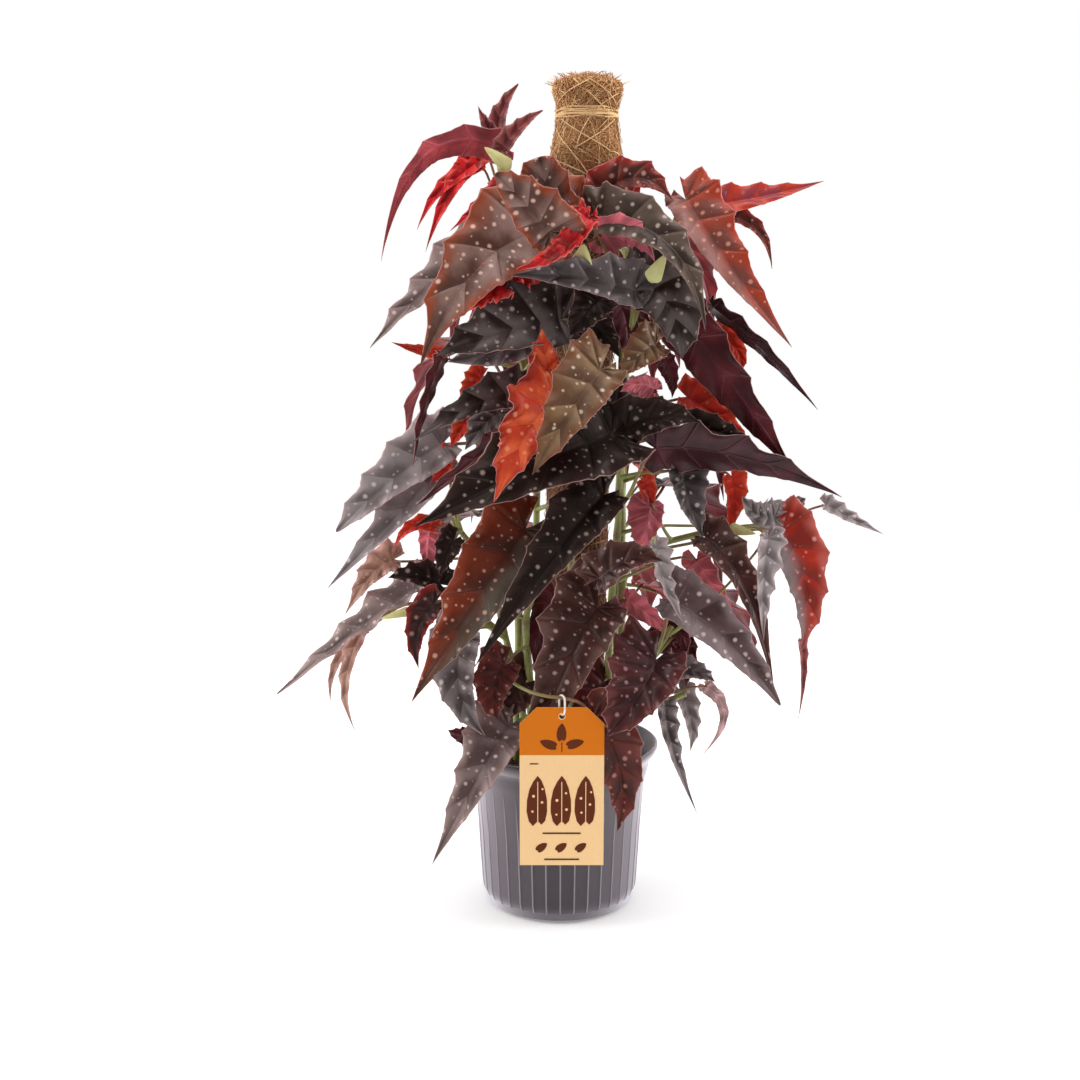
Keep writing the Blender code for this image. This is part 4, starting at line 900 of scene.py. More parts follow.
def face_ground(shade, face, patches, edge, narrow):
    """The upper face's colour: patches and painted shade that follow its pleats, its edge, its narrow half
    with painted sheen, and its veins.
    """
    # Painted shade and light: each strip between two veins runs from dark by one vein to light by the next,
    # as if lit from one side.
    pleat_shade = shade.rise(shade.math("FRACT", shade.row), 0.0, 0.92)
    tone_and_pleat_shade = shade.add(shade.cloud, shade.times(shade.math("SUBTRACT", pleat_shade, 0.5), 0.30))
    colour = shade.mix(shade.rise(tone_and_pleat_shade, 0.34, 0.66), face, patches)
    rim = shade.add(shade.share, shade.times(shade.noise(shade.flat, 60.0), 0.5))
    colour = shade.mix(shade.rise(rim, 0.75, 1.35), colour, edge)
    # Painted sheen: the narrow half's grey is light reflected off it.
    if narrow:
        line = shade.add(shade.across, shade.times(shade.math("SUBTRACT", shade.cloud, 0.5), 0.030))
        colour = shade.mix(shade.rise(line, 0.0060, -0.0140), colour, narrow)
    vein = shade.times(shade.rise(shade.vein_gap, 0.0011, 0.0002), 0.12)
    return shade.mix(vein, colour, shade.mix(0.5, patches, VEIN_COLOUR))


def face_spots(shade, strength):
    """Where the pale spots show: clear of the veins, the midrib and the margin."""
    big = shade.spots(SPOT_SPACING, 0.0008, 0.0021, 0.0011)
    small = shade.spots(SPOT_SPACING * 0.71, -0.0018, 0.0010, 0.0007)
    mark = shade.times(shade.math("MAXIMUM", big, small), shade.rise(shade.vein_gap, 0.0008, 0.0022))
    mark = shade.times(mark, shade.rise(shade.share, 0.97, 0.90))
    return shade.times(mark, shade.times(shade.rise(shade.share, 0.05, 0.14), strength))


def leaf_face(kind):
    """The upper face's material: its ground, pale spots and a thin pale margin."""
    *ground, spot, _, strength, roughness = LEAF_LOOKS[kind]
    shine = DARK_SHINE if kind.startswith("black") else LEAF_SHINE
    shade = LeafShade("leaf_" + kind, roughness, shine, 26.0)
    shade.finish(Specular_Tint=screen(SHINE_TINT))
    colour = shade.mix(face_spots(shade, strength), face_ground(shade, *ground), spot)
    furrow = shade.bump(shade.rise(shade.vein_gap, 0.0, 0.0035), 0.0006)
    grain = shade.bump(shade.noise(shade.flat, 900.0, 3.0), 0.00018, 0.6, furrow)
    skin = shade.bump(shade.noise(shade.flat, 210.0), 0.0007, 0.7, grain)
    glossy = shade.math("MULTIPLY_ADD", shade.cloud, 0.22, roughness - 0.08)
    return shade.done(shade.margined(colour, 0.55), skin, glossy)


def leaf_under(kind):
    """The underside's material: maroon to pink, with raised veins and painted shade along its pleats."""
    under = LEAF_LOOKS[kind][5]
    shade = LeafShade("underside_" + kind, 0.42, LEAF_SHINE, 30.0)
    lighter = tuple(min(255, value * 1.35 + 14) for value in under)
    darker = tuple(value * 0.62 for value in under)
    colour = shade.mix(shade.rise(shade.cloud, 0.35, 0.70), under, lighter)
    # Painted shade: stripes toward the darker colour that follow the pleats between the veins.
    wander = shade.add(shade.row, shade.times(shade.noise(shade.flat, 22.0), 1.4))
    pleat_shade = shade.math("SINE", shade.times(wander, 2 * math.pi))
    colour = shade.mix(shade.times(shade.rise(pleat_shade, -0.6, 1.0), 0.38), colour, darker)
    colour = shade.mix(shade.times(shade.rise(shade.vein_gap, 0.0014, 0.0003), 0.22), colour, lighter)
    ridge = shade.bump(shade.rise(shade.vein_gap, 0.0018, 0.0), 0.0008)
    skin = shade.bump(shade.noise(shade.flat, 260.0), 0.0006, 0.6, ridge)
    return shade.done(shade.margined(colour, 0.5), skin)


def fine_tooth(r, seed):
    """The margin's reach at vein r: a tooth at each vein, small teeth between, and some unevenness."""
    tooth = 1 - TOOTH_DIP * abs(math.sin(math.pi * r)) ** TOOTH_CURVE * min(1.0, 0.3 + r / 4)
    saw = (r * TEETH_PER_VEIN) % 1.0
    uneven = noise.noise(Vector((r * 1.9, seed, 3.7)))
    return tooth * (1 - SMALL_TEETH * saw + MARGIN_NOISE * uneven)


def midrib_share(leaf, along):
    """How far along the midrib a point takes its frame from; a blunt tip stops short of the end."""
    share = min(1.0, along / leaf.length)
    if leaf.name in BLUNT_TIPS and share > BLUNT_FROM:
        return BLUNT_FROM + BLUNT_REACH * math.tanh((share - BLUNT_FROM) / BLUNT_REACH)
    return share


def fine_lift(leaf, hand, r, c, across, seed):
    """The plain blade's lift with quilting between the veins, waves at the margin, and crinkles."""
    lift = plain_lift(leaf, r, c, across)
    lift += QUILT * leaf.width * abs(math.sin(math.pi * r)) * math.sin(math.pi * c) * taper(r)
    wave = WAVE * CRINKLED.get(leaf.name, 1.0) * leaf.width
    lift += wave * noise.noise(Vector((r * 1.3, seed * 1.7, hand * 2.0))) * c ** 3 * taper(r)
    if leaf.name in CRINKLED:
        lift += 0.5 * wave * noise.noise(Vector((r * 4.0, seed * 2.3, hand + 4 * c))) * c * taper(r)
    return lift


def fine_point(leaf, hand, r, c, seed):
    """The fine blade's point, its flat place, and its distance to the nearest vein, share and vein number."""
    angles, reaches = SIDES[hand]
    full = leaf.width * max(0.0, between(reaches, r))
    ragged = RAGGED * (CRINKLED.get(leaf.name, 1.0) - 1) * noise.noise(Vector((r * 5.0, seed * 1.1, hand)))
    reach = full * c * (1 + (fine_tooth(r, seed + hand) - 1 + ragged) * c)
    along, across = flat_place(leaf, angles, r, reach)
    point, normal, side = leaf.blade_frame(midrib_share(leaf, along))
    place = point + side * (hand * across) + normal * fine_lift(leaf, hand, r, c, across, seed)
    vein_gap = math.dist((along, across), flat_place(leaf, angles, round(r), reach))
    gap = min(vein_gap, across if round(r) > 0 else 1.0)
    return place, (along + seed * FLAT_SHIFT, hand * across, seed), (gap, c, r)


def fine_blade(leaf, seed):
    """What fine_point gives for each vertex of the fine blade, and its faces."""
    points, faces = [], []
    rows, width = (VEINS - 1) * FINE_ROWS + 1, FINE_COLUMNS + 1
    shares = [1 - (1 - j / FINE_COLUMNS) ** COLUMN_CURVE for j in range(width)]
    for hand in SIDES:
        start = len(points)
        points += [fine_point(leaf, hand, k / FINE_ROWS, share, seed)
                   for k in range(rows) for share in shares]
        for k in range(rows - 1):
            for a in range(start + k * width, start + k * width + FINE_COLUMNS):
                face = (a, a + 1, a + width + 1, a + width)
                faces.append(face if hand * leaf.up_sign > 0 else face[::-1])
    return points, faces


def fine_leaf(leaf, seed, face, under):
    """The fine blade: face, underside and margin in one closed piece."""
    points, faces = fine_blade(leaf, seed)
    vertices, flats, veins = zip(*points)
    piece = mesh_piece("leaf_" + leaf.name, vertices, faces, "foliage", face, under)
    add_attribute(piece, "flat", flats)
    add_attribute(piece, "vein", veins)
    weld(piece)
    thick = piece.modifiers.new("Thickness", "SOLIDIFY")
    thick.thickness = FINE_BLADE
    thick.offset = 0.0
    thick.material_offset = 1
    thick.use_rim = True


def add_piece(name, mesh, slot, *materials):
    """A mesh as a piece that rides on the root body, with its materials; slot is not used."""
    piece = bpy.data.objects.new(name, mesh)
    bpy.context.scene.collection.objects.link(piece)
    for material in materials:
        piece.data.materials.append(material)
    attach(piece, "root")
    return piece


def mesh_piece(name, vertices, faces, slot, *materials):
    """A smooth piece of the given vertices and faces."""
    mesh = bpy.data.meshes.new(name)
    mesh.from_pydata([tuple(v) for v in vertices], [], faces)
    mesh.shade_smooth()
    return add_piece(name, mesh, slot, *materials)


def add_attribute(piece, name, values):
    """A vector for each vertex, for the materials to read."""
    made = piece.data.attributes.new(name, "FLOAT_VECTOR", "POINT")
    made.data.foreach_set("vector", [number for value in values for number in value])


def weld(piece):
    """Join the vertices where the blade's halves and its fans meet, and drop the faces with no area."""
    shape = bmesh.new()
    shape.from_mesh(piece.data)
    bmesh.ops.remove_doubles(shape, verts=shape.verts, dist=WELD_DISTANCE)
    bmesh.ops.dissolve_degenerate(shape, edges=shape.edges, dist=NO_LENGTH)
    shape.to_mesh(piece.data)
    shape.free()


class Tubes:
    """Tubes gathered into one mesh, each vertex marked with three numbers for the material."""

    def __init__(self):
        self.vertices, self.faces, self.marks = [], [], []

    def add(self, way, radii, sides, marks):
        """A closed tube along a way; its radius and mark are lists by point, or one for all."""
        radii = radii if isinstance(radii, list) else [radii] * len(way)
        marks = marks if isinstance(marks, list) else [marks] * len(way)
        along = (way[1] - way[0]).normalized()
        side = along.orthogonal().normalized()
        start = len(self.vertices)
        for k, point in enumerate(way):
            ahead, behind = way[min(k + 1, len(way) - 1)], way[max(k - 1, 0)]
            if (ahead - behind).length > 0:
                along = (ahead - behind).normalized()
            side = (side - along * side.dot(along)).normalized()
            other = along.cross(side)
            for turn in (2 * math.pi * i / sides for i in range(sides)):
                self.vertices.append(point + (side * math.cos(turn) + other * math.sin(turn)) * radii[k])
                self.marks.append(marks[k])
            if k:
                ring = start + k * sides
                self.faces += tube_faces(ring - sides, ring, sides)
        self.faces.append(tuple(range(start, start + sides))[::-1])
        self.faces.append(tuple(range(len(self.vertices) - sides, len(self.vertices))))

    def piece(self, name, slot, material):
        """The gathered tubes as one piece."""
        made = mesh_piece(name, self.vertices, self.faces, slot, material)
        add_attribute(made, "mark", self.marks)
        return made


def lengths_along(way):
    """How far each point of a way is along it."""
    found = [0.0]
    for a, b in zip(way, way[1:]):
        found.append(found[-1] + (b - a).length)
    return found


def stem_material():
    """Cane and petiole skin: green low down, redder and darker out to the leaves, with brown nodes."""
    shade = Shade("stem_skin", 0.42)
    _, red, ring, _ = shade.attribute("mark")
    place = shade.place()
    streak = shade.noise(place, 140.0, 3.0)
    green = shade.mix(streak, (116, 138, 60), (170, 184, 106))
    colour = shade.mix(shade.rise(red, 0.0, 1.0), green, (112, 56, 40))
    colour = shade.mix(shade.times(ring, 0.8), colour, (98, 74, 50))
    fleck = shade.rise(shade.noise(place, 620.0), 0.60, 0.68)
    colour = shade.mix(shade.times(fleck, 0.45), colour, (168, 160, 120))
    return shade.done(colour, shade.bump(streak, 0.0008))


def add_strand(tubes, way, number):
    """One strand of a cane, slimmer towards its tip and swollen at its nodes."""
    reach = lengths_along(way)
    radii, marks = [], []
    for far in reach:
        ring = math.exp(-((far % INTERNODE - INTERNODE / 2) / NODE_LENGTH) ** 2)
        slim = CANE_RADIUS + (CANE_TIP_RADIUS - CANE_RADIUS) * far / reach[-1]
        radii.append(slim * (1 + NODE_SWELL * ring) * CANE_FIT)
        marks.append((0.15 + 0.35 * far / reach[-1], ring, number))
    tubes.add(way, radii, FINE_CANE_SIDES, marks)


def add_petiole(tubes, leaf, root):
    """A leaf's petiole from its root in the cane, flared there."""
    route = TAG_PETIOLE if leaf.name == TAG_CARRIER else None
    way = petiole_way(leaf, root, route, FINE_STEPS, FINE_JOINT)
    shares = [k / (len(way) - 1) for k in range(len(way))]
    slim = PETIOLE_RADIUS * min(1.0, 0.55 + leaf.width / 0.12)
    radii = [slim + PETIOLE_FLARE * math.exp(-6 * share) for share in shares]
    tubes.add(way, radii, FINE_PETIOLE_SIDES, [(0.25 + 0.75 * share, 0.0, 0.0) for share in shares])


def make_stems(cane, skin):
    """A cane with its swollen nodes, and the petioles of its leaves."""
    tubes = Tubes()
    for number, strand in enumerate(cane.strands):
        way = smooth_way(strand, FINE_STEPS)
        if number == 0:
            way.insert(0, cane.curves[0][0])
        add_strand(tubes, way, number)
    for leaf, way in cane.leaves:
        if leaf.name not in STALKLESS:
            add_petiole(tubes, leaf, way[0])
    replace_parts(tubes.piece("stems_" + cane.name, "foliage", skin), cane.name)


def bract_material():
    """The pale green skin of the bracts."""
    shade = Shade("bract_skin", 0.5)
    vary = shade.noise(shade.place(), 120.0, 3.0)
    return shade.done(shade.mix(vary, (230, 224, 160), (196, 194, 122)), shade.bump(vary, 0.0006))


def make_bract(number, base, tip, width, skin):
    """A pale pointed bract, folded along its middle."""
    start, reach = seen(base), seen(tip) - seen(base)
    side = reach.cross(SIGHT).normalized()
    vertices, faces = [], []
    for k in range(BRACT_ROWS + 1):
        t = k / BRACT_ROWS
        half = width * MM / 2 * (1 - t) ** 0.7 * math.sqrt(min(1.0, 0.05 + t / 0.15))
        bow = SIGHT * (-BRACT_BOW * reach.length * math.sin(math.pi * t))
        middle = start + reach * t + bow
        fold = SIGHT * half * 0.5
        vertices += [middle - side * half - fold, middle, middle + side * half - fold]
        if k:
            a = 3 * (k - 1)
            faces += [(a, a + 1, a + 4, a + 3), (a + 1, a + 2, a + 5, a + 4)]
    piece = mesh_piece(f"bract_{number}", vertices, faces, "foliage", skin)
    piece.modifiers.new("Thickness", "SOLIDIFY").thickness = BRACT_THICKNESS


def foot_arc():
    """The rounding between the pot's wall and its flat foot."""
    turns = [math.pi / 2 * k / FOOT_STEPS for k in range(FOOT_STEPS + 1)]
    return [(FOOT_RADIUS + FOOT_ROUNDING * math.cos(turn), FOOT_ROUNDING * (1 - math.sin(turn)))
            for turn in turns]


def ribbed(r, z, share):
    """The pot's outer radius at a share of the way between two ribs."""
    from_rib = min(share, 1 - share)
    edge = min(1.0, max(0.0, (RIB_TOP - z) / RIB_FADE))
    flat = math.cos(math.pi / POT_SIDES) / math.cos(math.pi / POT_SIDES * (1 - 2 * from_rib))
    rib = RIB_RAISE * max(0.0, 1 - from_rib / RIB_SPREAD) * edge
    return r * (1 - edge) + r * flat * edge + rib


def pot_profile():
    """The pot's half section from its inner floor over the lip to its foot, and where its outside begins."""
    wall = [(r - POT_WALL, z) for r, z in reversed(POT_OUTSIDE[WALL_FROM:])]
    inside = [(POT_CENTRE, POT_FLOOR), (FLOOR_EDGE, POT_FLOOR), *wall, *INNER_LIP]
    groove = [(FOOT_RADIUS, GROOVE_DEPTH), (FOOT_RADIUS - GROOVE_WIDTH, 0.0), (POT_CENTRE, 0.0)]
    return [*inside, *POT_OUTSIDE, *POT_LOWER, *foot_arc(), *groove], len(inside)


def make_pot():
    """The ribbed nursery pot with its plain collar, its rolled lip and the groove inside its foot."""
    profile, first = pot_profile()
    turns = [(flute, share) for flute in range(POT_SIDES) for share in FLUTE_SHARES]
    vertices, faces, marks = [], [], []
    for row, (r, z) in enumerate(profile):
        outside = row >= first and r > FOOT_RADIUS
        for flute, share in turns:
            reach = ribbed(r, z, share) if outside else r
            vertices.append(turned(reach, 2 * math.pi * (flute + share) / POT_SIDES, z))
            # Marks where the painted rib highlight goes.
            rib_highlight_mask = outside and min(share, 1 - share) < RIB_HALF and z < RIB_TOP
            marks.append((float(rib_highlight_mask), 0.0, 0.0))
        if row:
            faces += turned_faces((row - 1) * len(turns), row * len(turns), len(turns))
    pot = mesh_piece("pot_looks", vertices, faces, "pot_plastic", pot_material())
    add_attribute(pot, "mark", marks)
    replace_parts(pot, "pot")


def pot_material():
    """Anthracite plastic with painted highlights along the ribs and faint scuffs."""
    shade = Shade("pot_plastic", 0.26, 0.25)
    shade.finish(Sheen_Weight=1.0, Sheen_Roughness=0.50, Sheen_Tint=screen((252, 244, 255)))
    _, rib, _, _ = shade.attribute("mark")
    scuff = shade.noise(shade.place(), 300.0)
    colour = shade.mix(scuff, (46, 39, 44), (53, 45, 51))
    # Painted highlight: the light colour on the ribs stands for light catching their edges.
    colour = shade.mix(shade.times(rib, 0.34), colour, (206, 196, 204))
    return shade.done(colour, shade.bump(scuff, 0.0001, 0.3))


def soil_height(x, y, share):
    """The soil's height at a share of the way out: a low crown, uneven all but its rim."""
    rough = noise.fractal(Vector((x * 90, y * 90, 4.0)), 0.9, 2.1, 4)
    crown = SOIL_CROWN * (1 - share) + rough * SOIL_ROUGH * min(1.0, (1 - share) * 12)
    return SOIL_TOP + crown


def make_soil(draw):
    """Peat soil with an uneven top and loose crumbs."""
    vertices, faces = [], []
    turns = [2 * math.pi * i / SOIL_SIDES for i in range(SOIL_SIDES)]
    for k in range(SOIL_RINGS + 1):
        reach = max(SOIL_CENTRE, SOIL_RIM * k / SOIL_RINGS)
        for turn in turns:
            x, y = reach * math.cos(turn), reach * math.sin(turn)
            vertices.append((x, y, soil_height(x, y, k / SOIL_RINGS)))
        faces += turned_faces(k * SOIL_SIDES, (k + 1) * SOIL_SIDES, SOIL_SIDES)
    faces.append(tuple(range(len(vertices), len(vertices) + SOIL_SIDES)))
    faces.append(tuple(reversed(range(SOIL_SIDES))))
    vertices += [turned(FOOT_RADIUS, turn, SOIL_FOOT) for turn in turns]
    for _ in range(SOIL_CRUMBS):
        turn, reach = draw.uniform(0, 2 * math.pi), SOIL_RIM * 0.97 * math.sqrt(draw.random())
        add_crumb(vertices, faces, turned(reach, turn, SOIL_TOP + CRUMB_RISE), draw)
    soil = mesh_piece("soil_looks", vertices, faces, "potting_soil", soil_material())
    soil.data.shade_flat()
    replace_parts(soil, "soil")


def add_crumb(vertices, faces, place, draw):
    """A small eight-sided lump."""
    size = draw.uniform(*CRUMB_SIZE)
    first = len(vertices)
    for axis in ((1, 0, 0), (-1, 0, 0), (0, 1, 0), (0, -1, 0), (0, 0, 1), (0, 0, -1)):
        vertices.append(place + Vector(axis) * size * draw.uniform(0.6, 1.1))
    faces += [tuple(first + i for i in face) for face in
              ((0, 2, 4), (2, 1, 4), (1, 3, 4), (3, 0, 4), (2, 0, 5), (1, 2, 5), (3, 1, 5), (0, 3, 5))]


def soil_material():
    """Dark peat with pale flecks."""
    shade = Shade("peat", 0.95)
    place = shade.place()
    colour = shade.mix(shade.noise(place, 260.0, 4.0), (34, 24, 18), (82, 60, 44))
    fleck = shade.rise(shade.noise(place, 700.0, 1.0), 0.68, 0.74)
    return shade.done(shade.mix(fleck, colour, (150, 128, 104)))


def coir_material():
    """Coir: each fibre its own brown, lighter on the straws, with painted shadow low down."""
    shade = Shade("coir_fibre", 0.85)
    _, tone, straw, _ = shade.attribute("mark")
    place = shade.place()
    cloud = shade.math("SUBTRACT", shade.noise(place, 45.0, 3.0), 0.5)
    share = shade.add(tone, shade.times(cloud, 0.7))
    colour = shade.mix(shade.rise(share, -0.5, 0.4), (88, 50, 28), (184, 126, 80))
    colour = shade.mix(shade.rise(share, 0.30, 0.95), colour, (222, 176, 120))
    colour = shade.mix(straw, colour, (232, 196, 144))
    height = shade.put("SeparateXYZ", Vector=place).outputs["Z"]
    # Painted shadow: the coir darkens below the leaves, where they shade it.
    shadow = shade.times(shade.rise(height, PAINTED_SHADOW_BELOW[1], PAINTED_SHADOW_BELOW[0]), 0.62)
    return shade.done(shade.mix(shadow, colour, (88, 44, 34)))


def pole_radius(height):
    """The pole's radius at a height, with its top edge rounded over."""
    into = max(0.0, min(height, FIBRE_TOP) - (FIBRE_TOP - SHOULDER)) / SHOULDER
    rounded = math.sqrt(1 - 0.7 * into * into)
    for (z0, r0), (z1, r1) in zip(POLE_OUTLINE, POLE_OUTLINE[1:]):
        if height <= z1:
            share = max(0.0, height - z0) / (z1 - z0)
            return (r0 + (r1 - r0) * share) * rounded
    return POLE_OUTLINE[-1][1] * rounded


def on_pole(turn, height, out):
    """A point on the pole's surface, `out` metres further from its axis."""
    return turned(pole_radius(height) + out, turn, height, pole_axis(height))


def add_fibre(tubes, draw, straw, low=SOIL_TOP - 0.010):
    """One curly fibre, or a longer and straighter straw, lying on the pole above a height."""
    length = draw.uniform(*(STRAW_LENGTH if straw else FIBRE_LENGTH))
    steps = 7 if straw else 5
    heading = draw.gauss(0.0, 0.85)
    curl = draw.gauss(0.0, 9.0 if straw else 34.0)
    swing = 0.0 if straw else draw.gauss(0.0, 40.0)
    rest = draw.uniform(-0.0020, 0.0006) + (0.0011 if straw else 0.0)
    lift = abs(draw.gauss(0.0, 0.0012))
    height = draw.uniform(low, FIBRE_TOP - 0.2 * length)
    turn = draw.uniform(0, 2 * math.pi)
    way = []
    for t in (k / steps for k in range(steps + 1)):
        way.append(on_pole(turn, min(height, FIBRE_TOP), rest + lift * (2 * t - 1) ** 4))
        heading += (curl + swing * math.cos(6 * t)) * length / steps
        height += math.cos(heading) * length / steps
        turn += math.sin(heading) * length / steps / pole_radius(height)
    radius = FIBRE_RADIUS * draw.uniform(0.7, 1.3) * (1.4 if straw else 1.0)
    radii = [radius * 0.5, *[radius] * (steps - 1), radius * 0.5]
    tubes.add(way, radii, 3, (draw.random(), 1.0 if straw else 0.0, 0.0))


def make_pole(material, draw):
    """The coir pole from the soil up: a dark core under thousands of fibres, frayed at the top."""
    tubes, top = Tubes(), Tubes()
    heights = [CORE_LOW + CORE_SPAN * k / CORE_STEPS for k in range(CORE_STEPS + 1)]
    way = [Vector((pole_axis(z), 0.0, z)) for z in heights]
    tubes.add(way, [pole_radius(z) - CORE_DEPTH for z in heights], CORE_SIDES, (-0.4, 0.0, 0.0))
    for straw, count in ((False, FIBRES), (True, STRAWS)):
        for _ in range(count):
            add_fibre(tubes, draw, straw)
    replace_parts(tubes.piece("coir_pole_looks", "coir", material), "coir_pole")
    for straw, count in ((False, TOP_FIBRES), (True, TOP_STRAWS)):
        for _ in range(count):
            add_fibre(top, draw, straw, TOP_FROM)
    for _ in range(FRAY):
        add_fray(top, draw)
    top.piece("coir_top_looks", "coir", material)


def add_fray(tubes, draw):
    """A short loose fibre on the pole's top."""
    turn, reach = draw.uniform(0, 2 * math.pi), FRAY_REACH * math.sqrt(draw.random())
    level = FIBRE_TOP - 0.002 - SHOULDER * (reach / FRAY_REACH) ** 4
    start = turned(reach, turn, level, POLE_TOP_X)
    along = Vector((draw.gauss(0, 1), draw.gauss(0, 1), abs(draw.gauss(0, 1.2)))).normalized()
    bend = Vector((draw.gauss(0, 1), draw.gauss(0, 1), 0.4)) * 0.004
    length = draw.uniform(*FRAY_LENGTH)
    way = [start + along * length * t + bend * t * t for t in (0.0, 0.35, 0.7, 1.0)]
    way = [Vector((p.x, p.y, min(p.z, FIBRE_TOP + FRAY_RISE))) for p in way]
    tubes.add(way, [FIBRE_RADIUS] * 3 + [FIBRE_RADIUS * 0.5], 3, (draw.random(), 0.0, 0.0))


def make_tie(material, draw):
    """Straw wound round the waist, with slack ends."""
    tubes = Tubes()
    for strand in range(TIE_STRANDS):
        start = draw.uniform(0, 2 * math.pi)
        level = TIE_HEIGHT + draw.uniform(-TIE_SPREAD, TIE_SPREAD)
        tilt = draw.uniform(-TIE_TILT, TIE_TILT)
        way = []
        for k in range(TIE_STEPS + 1):
            turn = start + 2 * math.pi * TIE_TURNS * k / TIE_STEPS
            height = level + tilt * math.sin(turn) + 0.0005 * math.sin(5 * turn + strand)
            way.append(on_pole(turn, height, 0.0010 + 0.0004 * math.sin(3 * turn + strand)))
        tubes.add(way, TIE_STRAND, 5, (0.4 + 0.6 * draw.random(), 0.6, 0.0))
    for turn, low, high, lean in TIE_DIAGONALS:
        shares = [k / 10 for k in range(11)]
        way = [on_pole(math.radians(turn + lean * t), low + (high - low) * t, TIE_OUT) for t in shares]
        tubes.add(way, TIE_LOOSE, 4, (0.8, 0.8, 0.0))
    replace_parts(tubes.piece("pole_tie_looks", "straw_cord", material), "pole_tie")


def slab(name, outline, front, depth, material, at):
    """A thin flat layer of the tag, facing the front: outline as (x, z) from a point."""
    shape = bmesh.new()
    face = shape.faces.new([shape.verts.new((at.x + x, at.y - front, at.z + z)) for x, z in outline])
    made = bmesh.ops.extrude_face_region(shape, geom=[face])
    moved = [v for v in made["geom"] if isinstance(v, bmesh.types.BMVert)]
    bmesh.ops.translate(shape, verts=moved, vec=(0, depth, 0))
    bmesh.ops.recalc_face_normals(shape, faces=shape.faces)
    mesh = bpy.data.meshes.new(name)
    shape.to_mesh(mesh)
    shape.free()
    add_piece(name, mesh, "tag_card", material)


def plain(name, colour, roughness):
    """A material of one colour with a faint paper grain."""
    shade = Shade(name, roughness, 0.15)
    grain = shade.noise(shade.place(), 900.0)
    return shade.done(shade.mix(grain, tuple(value * 0.94 for value in colour), colour))


def circle(x, z, radius, sides=24):
    """A round outline."""
    turns = [2 * math.pi * k / sides for k in range(sides)]
    return [(x + radius * math.cos(turn), z + radius * math.sin(turn)) for turn in turns]


def bar(x0, x1, z0, z1):
    """A rectangle's outline."""
    return [(x0, z0), (x1, z0), (x1, z1), (x0, z1)]


def leaf_mark(x, z, length, width, turn):
    """A small angel-wing leaf outline, its base at (x, z), pointing along turn degrees."""
    c, s = math.cos(math.radians(turn)), math.sin(math.radians(turn))
    sized = [(along * length, across * width) for along, across in LEAF_MARK]
    return [(x + a * c - b * s, z + a * s + b * c) for a, b in sized]


def card_outline(low):
    """The tag's outline down to a level, its two upper corners cut."""
    half, cut, top = TAG_WIDTH / 2, TAG_CHAMFER, TAG_HOLE_DROP
    return [(-half, low), (half, low), (half, top - cut), (half - cut, top),
            (cut - half, top), (-half, top - cut)]


def card_mesh(at):
    """The card with its hole."""
    curve = bpy.data.curves.new("care_tag_looks", "CURVE")
    curve.dimensions = "2D"
    curve.fill_mode = "BOTH"
    curve.extrude = TAG_THICKNESS / 2
    for outline in (card_outline(TAG_HOLE_DROP - TAG_HEIGHT), circle(0.0, 0.0, TAG_HOLE)):
        spline = curve.splines.new("POLY")
        spline.points.add(len(outline) - 1)
        for spot, (x, z) in zip(spline.points, outline):
            spot.co = (x, z, 0.0, 1.0)
        spline.use_cyclic_u = True
    source = bpy.data.objects.new("tag_source", curve)
    source.location = at
    source.rotation_euler = (math.pi / 2, 0.0, 0.0)
    bpy.context.scene.collection.objects.link(source)
    bpy.context.view_layer.update()
    mesh = bpy.data.meshes.new_from_object(source.evaluated_get(bpy.context.evaluated_depsgraph_get()))
    mesh.transform(source.matrix_world)
    mesh.materials.clear()
    bpy.data.objects.remove(source, do_unlink=True)
    return mesh


def make_tag():
    """The care tag: a card with a hole, an orange head, and plain printed marks in brown ink."""
    at = tag_hole()
    card = add_piece("care_tag_looks", card_mesh(at), "tag_card", plain("tag_field", TAG_CREAM, 0.5))
    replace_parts(card, "care_tag")
    print_tag(at)


def print_tag(at):
    """The head band and the marks, each a thin layer on the card."""
    face, top = TAG_THICKNESS / 2, TAG_HOLE_DROP
    orange = plain("tag_head", TAG_ORANGE, 0.55)
    cream = plain("tag_cream", TAG_CREAM, 0.5)
    ink = plain("tag_ink", TAG_INK, 0.6)
    slab("tag_head", head_with_hole(card_outline(top - TAG_HEAD)), face + HEAD_RISE, HEAD_DEPTH, orange, at)
    marks = [(ink, 0.0, leaf_mark(x, top + z, *shape)) for x, z, *shape in HEAD_SPRIG]
    marks += [(ink, 0.0, bar(x0, x1, top + z0, top + z1)) for x0, x1, z0, z1 in TAG_BARS]
    marks += [(ink, 0.0, leaf_mark(x, top + z, *shape)) for x, z, *shape in TAG_LEAVES]
    marks += [(cream, PRINT_DEPTH, bar(x0, x1, top + z0, top + z1)) for x0, x1, z0, z1 in TAG_RIBS]
    marks += [(cream, PRINT_DEPTH, circle(x, top + z, radius, 16)) for x, z, radius in TAG_DOTS]
    for number, (paint, rise, outline) in enumerate(marks):
        slab(f"tag_mark_{number:02d}", outline, face + PRINT_RISE + rise, PRINT_DEPTH, paint, at)


def head_with_hole(head):
    """The head band's outline, cut in to leave the hole free."""
    reach, turns = TAG_HOLE * HEAD_HOLE, [2 * math.pi * k / 16 for k in range(17)]
    arc = [(reach * math.sin(turn), reach * math.cos(turn)) for turn in turns]
    top = head[3][1]
    return [*head[:4], (SLIT, top), *arc, (-SLIT, top), *head[4:]]


